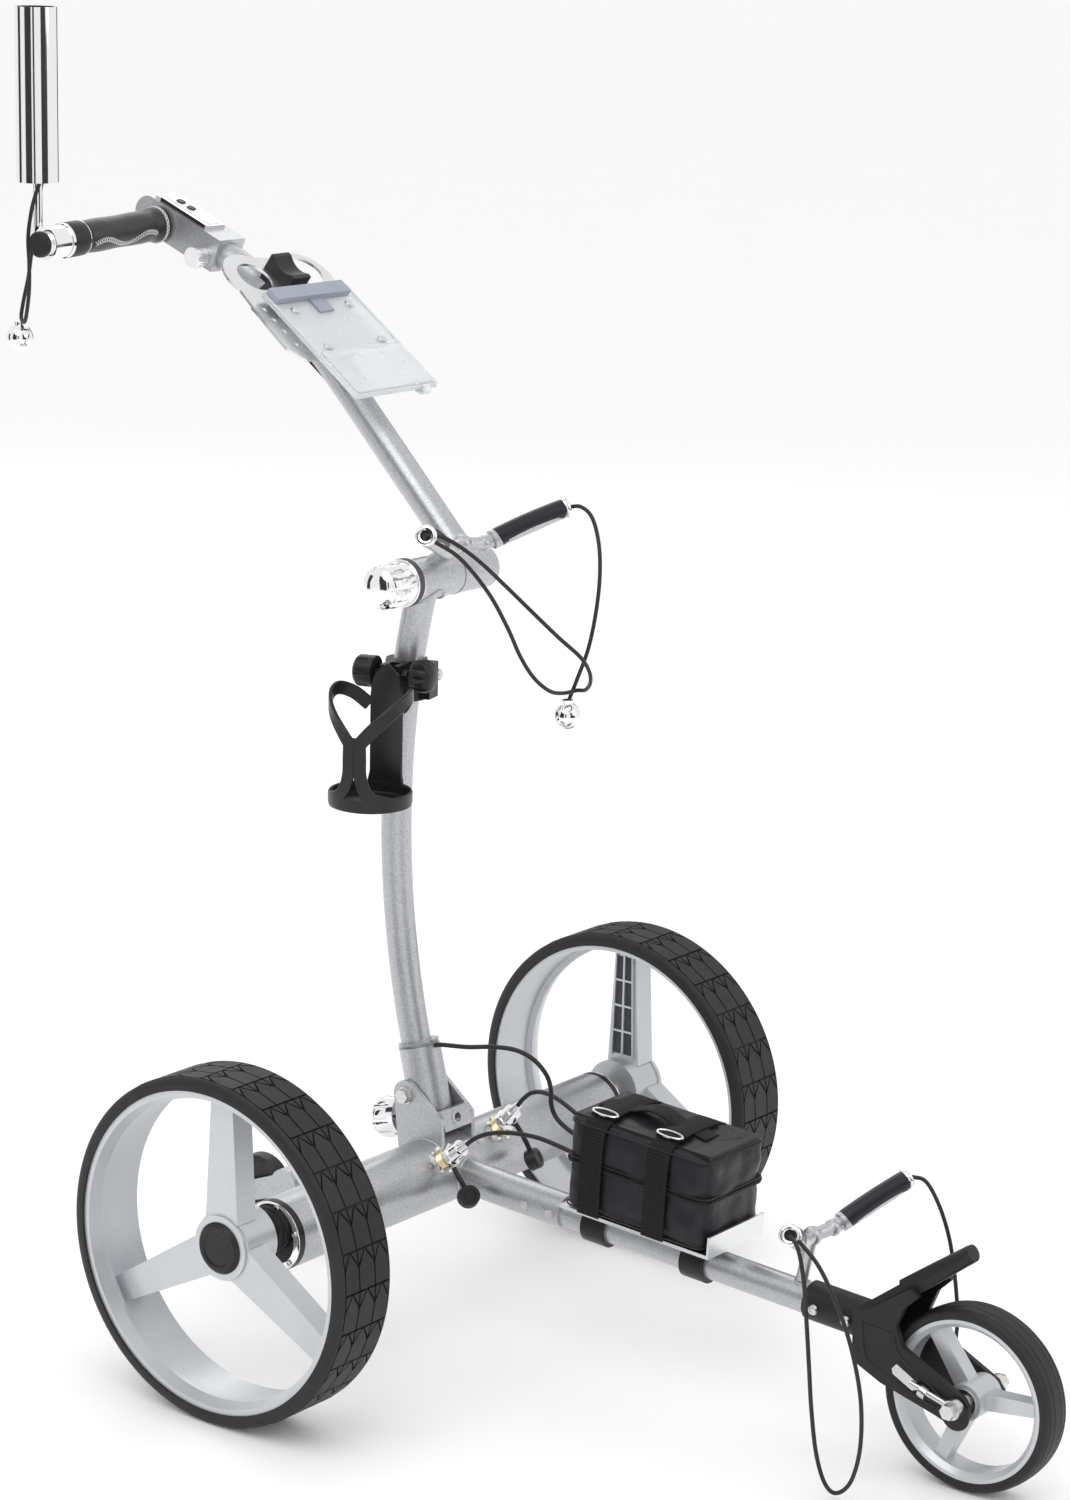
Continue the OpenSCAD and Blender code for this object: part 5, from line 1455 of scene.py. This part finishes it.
# ---- sockets, screws and the front fork ----------------------------------------------------------
class TROLLEY_OT_sockets(bpy.types.Operator):
    """Makes the threaded collars, the castle rings, the nuts and the hanging caps of the power sockets"""
    bl_idname = "trolley.sockets"
    bl_label = "Sockets"

    def execute(self, context):
        brass = kept("brass", plated, (0.72, 0.60, 0.38), 0.24)
        for y, rise, name in ((-31, 38.8, "near"), (52, 52.0, "far")):
            at = place(0, y, 137, "Y", 90 - rise)
            collar = [(6.2, 33.4)]
            for k in range(5):
                collar += [(9.4, 33.8 + k * 1.5), (8.6, 34.6 + k * 1.5)]
            collar += [(6.2, 41.2)]
            make(name + "_socket_thread", [lathe(collar, 48, at)], brass, "chassis")
            tooth = [block(9.2, 12.2, -1.6, 1.6, 31.6, 34.0)]
            ring_of(tooth, 8, name + "_socket_castle", at, chrome(), "chassis")
            nut = [slab([(a * 1.02, b * 1.02) for a, b in hexagon(9.6)], 42.2, 47.0, at)]
            make(name + "_socket_nut", nut, chrome(), "chassis", bevel=0.4)
        cap = [(0, -4.9), (8.4, -4.9), (9.3, -4.2), (9.6, -3.0), (9.2, -2.2), (9.2, 4.2), (8.4, 5.7), (5.2, 5.7),
               (4.6, 4.8), (0, 4.8)]
        near = place(56, -34, 133, "Y", 50) @ Matrix.Rotation(radians(30), 4, "X")
        far = place(52, 60, 140, "Y", 60) @ Matrix.Rotation(radians(-20), 4, "X")
        parts = [lathe(cap, 40, near), lathe(cap, 40, far)]
        for line in ([(39, -33, 154), (44, -35, 150), (50, -35.5, 144), (54, -34.5, 137)],
                     [(37, 53, 171), (42, 55, 163), (47, 57.5, 153), (51, 59.5, 143)]):
            parts.append(sweep(smooth_path(line, 6), circle(2.2, 10)))
        make("socket_dust_caps", parts, black(), "chassis", angle=50)
        return {"FINISHED"}


class TROLLEY_OT_fork_details(bpy.types.Operator):
    """Makes the raised edges, the bolts and the pads of the front fork"""
    bl_idname = "trolley.fork_details"
    bl_label = "Fork details"

    def execute(self, context):
        parts = []
        for s in (-1, 1):
            outline = [(446, 122), (451, 94), (470, 84), (512, 71), (520, 72), (522, 78), (482, 103), (474, 118)]
            loop = [Vector((x, s * 27.1, z)) for x, z in outline]
            fine = smooth_path(loop + loop[:1], 5)[:-1]
            parts.append(sweep(fine, circle(0.7, 6), closed=True))
            tip = lathe([(0, 0), (12.0, 0), (12.6, 0.6), (12.6, 1.4), (11.8, 2.0), (7.6, 2.0), (0, 1.6)], 40,
                        place(535, s * 27, 68.5, "X", -90 * s))
            parts.append(tip)
        make("fork_edges", parts, powder_coat(), "chassis", angle=50)
        heads = []
        for x, z in ((394, 0), (425, 0)):
            for s in (-1, 1):
                at = BEAM @ place(x, s * 16.2, z, "X", -90 * s)
                heads.append(lathe([(0, 0), (4.4, 0), (4.4, 1.4), (3.4, 2.8), (1.7, 3.2), (1.7, 2.0), (0, 2.0)], 28,
                                   at))
        make("fork_screws", heads, steel(), "chassis")
        return {"FINISHED"}


class TROLLEY_OT_finishes(bpy.types.Operator):
    """Gives each CAD node that stays its finish"""
    bl_idname = "trolley.finishes"
    bl_label = "Finishes"

    def execute(self, context):
        colours = context.scene.trolley_colours
        rim = kept("rim_silver", moulded, colours.rim, 0.3, 0.00006, 1400, 0.06, metallic=0.55)
        rubber = kept("saddle_rubber", moulded, (0.014, 0.014, 0.015), 0.46, 0.00015, 900, 0.3)
        by_slot = {
            "silver_paint": silver(), "steel": steel(), "chrome": chrome(),
            "aluminium": kept("satin_aluminium", brushed, (0.78, 0.79, 0.80)),
            "black_plastic": black(), "black_paint": powder_coat(), "black_rubber": rubber,
            "tyre_rubber": kept("tyre_rubber", tread_rubber, colours.tyre), "silver_plastic": rim,
            "grey_plastic": kept("clip_grey", moulded, colours.clip, 0.4, 0.0001, 1500, 0.12),
            "clear_plastic": kept("board_clear", frosted, (0.93, 0.95, 0.97)),
            "leather": kept("grip_leather", grained_leather, colours.leather), "nylon": bag_cloth(),
            "cord_black": cord_sheath(),
        }
        slots = {s["node"]: s["material_slot"] for s in frame["record"]["subparts"]}
        for name, obj in frame["nodes"].items():
            obj.data.materials.clear()
            obj.data.materials.append(by_slot[slots[name]])
        return {"FINISHED"}


# ---- stage -----------------------------------------------------------------------------------------
class TROLLEY_OT_stage(bpy.types.Operator):
    """Makes the floor, the backdrop and the lights"""
    bl_idname = "trolley.stage"
    bl_label = "Stage"

    def execute(self, context):
        stage = context.scene.trolley_stage
        floor = finish("floor_paper", stage.floor, 0.7)
        shade(floor, noise_map(floor, 3, 3), 0, tinted(stage.floor, 0.992), tinted(stage.floor, 1.0))
        mesh = bpy.data.meshes.new("floor")
        span = 60.0
        mesh.from_pydata([(-span, -span, -0.0006), (span, -span, -0.0006), (span, span, -0.0006),
                          (-span, span, -0.0006)], [], [(0, 1, 2, 3)])
        obj = bpy.data.objects.new("floor", mesh)
        mesh.materials.append(floor)
        context.scene.collection.objects.link(obj)
        world = bpy.data.worlds.new("studio")
        world.use_nodes = True
        world.node_tree.nodes["Background"].inputs["Color"].default_value = (1, 1, 1, 1)
        world.node_tree.nodes["Background"].inputs["Strength"].default_value = stage.sky
        context.scene.world = world
        for name, power, size, spot, aim in (
                ("key_light", stage.key_power, 2.6, (0.6, -2.2, 3.2), (0, 0, 0.4)),
                ("fill_light", stage.fill_power, 2.0, (3.0, 0.6, 1.8), (0, 0, 0.4)),
                ("back_light", stage.fill_power, 2.2, (-2.4, 2.4, 2.6), (0, 0, 0.5))):
            light = bpy.data.lights.new(name, "AREA")
            light.energy, light.shape, light.size = power, "SQUARE", size
            lamp = bpy.data.objects.new(name, light)
            lamp.location = spot
            lamp.rotation_euler = (Vector(aim) - Vector(spot)).to_track_quat("-Z", "Y").to_euler()
            context.scene.collection.objects.link(lamp)
        card = finish("dark_card", (0.02, 0.02, 0.022), 0.9)
        shade(card, noise_map(card, 5, 2), 0, (0.015, 0.015, 0.016), (0.03, 0.03, 0.032))
        for name, turn, far, w, low, high in (("dark_card_left", -96, 3.4, 2.2, -0.2, 3.0),
                                              ("dark_card_right", -4, 3.4, 2.4, -0.2, 3.0),
                                              ("dark_card_middle", -64, 4.2, 0.7, 0.2, 2.6),
                                              ("dark_card_rear", -150, 3.0, 0.9, -0.2, 1.7),
                                              ("dark_card_back", 120, 4.2, 2.0, 0.2, 2.4)):
            spot = (far * cos(radians(turn)), far * sin(radians(turn)), (low + high) / 2)
            h = high - low
            mesh = bpy.data.meshes.new(name)
            mesh.from_pydata([(-w / 2, 0, -h / 2), (w / 2, 0, -h / 2), (w / 2, 0, h / 2), (-w / 2, 0, h / 2)], [],
                             [(0, 1, 2, 3)])
            mesh.materials.append(card)
            flag = bpy.data.objects.new(name, mesh)
            flag.location = spot
            flag.rotation_euler = (0, 0, math.atan2(spot[1], spot[0]) + pi / 2)
            flag.visible_camera = flag.visible_diffuse = flag.visible_shadow = False
            context.scene.collection.objects.link(flag)
        context.scene.view_settings.view_transform = "Standard"
        return {"FINISHED"}


STEPS = (TROLLEY_OT_camera, TROLLEY_OT_cords, TROLLEY_OT_finishes, TROLLEY_OT_drive_tyres, TROLLEY_OT_front_tyre,
         TROLLEY_OT_wheel_details, TROLLEY_OT_drive_ends, TROLLEY_OT_welds, TROLLEY_OT_knobs, TROLLEY_OT_cradles,
         TROLLEY_OT_bottle_holder, TROLLEY_OT_grip, TROLLEY_OT_controller, TROLLEY_OT_card_holder,
         TROLLEY_OT_battery_bag, TROLLEY_OT_bag_straps, TROLLEY_OT_sockets, TROLLEY_OT_fork_details,
         TROLLEY_OT_stage)


class TROLLEY_PT_panel(bpy.types.Panel):
    """Lists the trolley's pieces and settings"""
    bl_label = "Golf trolley"
    bl_idname = "TROLLEY_PT_panel"
    bl_space_type = "VIEW_3D"
    bl_region_type = "UI"
    bl_category = "Trolley"

    def draw(self, context):
        layout = self.layout
        for settings in (context.scene.trolley_colours, context.scene.trolley_sizes, context.scene.trolley_cloth,
                         context.scene.trolley_stage):
            box = layout.box()
            for prop in settings.bl_rna.properties:
                if prop.identifier not in ("rna_type", "name"):
                    box.prop(settings, prop.identifier)
        for step in STEPS:
            layout.operator(step.bl_idname)


CLASSES = (TrolleyColours, TrolleySizes, TrolleyCloth, TrolleyStage, *STEPS, TROLLEY_PT_panel)


def register():
    """Registers the classes and the scene's settings."""
    for c in CLASSES:
        bpy.utils.register_class(c)
    bpy.types.Scene.trolley_colours = bpy.props.PointerProperty(type=TrolleyColours)
    bpy.types.Scene.trolley_sizes = bpy.props.PointerProperty(type=TrolleySizes)
    bpy.types.Scene.trolley_cloth = bpy.props.PointerProperty(type=TrolleyCloth)
    bpy.types.Scene.trolley_stage = bpy.props.PointerProperty(type=TrolleyStage)


def unregister():
    """Takes away the settings and the classes."""
    for name in ("trolley_stage", "trolley_cloth", "trolley_sizes", "trolley_colours"):
        delattr(bpy.types.Scene, name)
    for c in reversed(CLASSES):
        bpy.utils.unregister_class(c)


def main():
    """Makes every piece in order."""
    register()
    for step in STEPS:
        group, name = step.bl_idname.split(".")
        getattr(getattr(bpy.ops, group), name)()


if __name__ == "__main__":
    main()
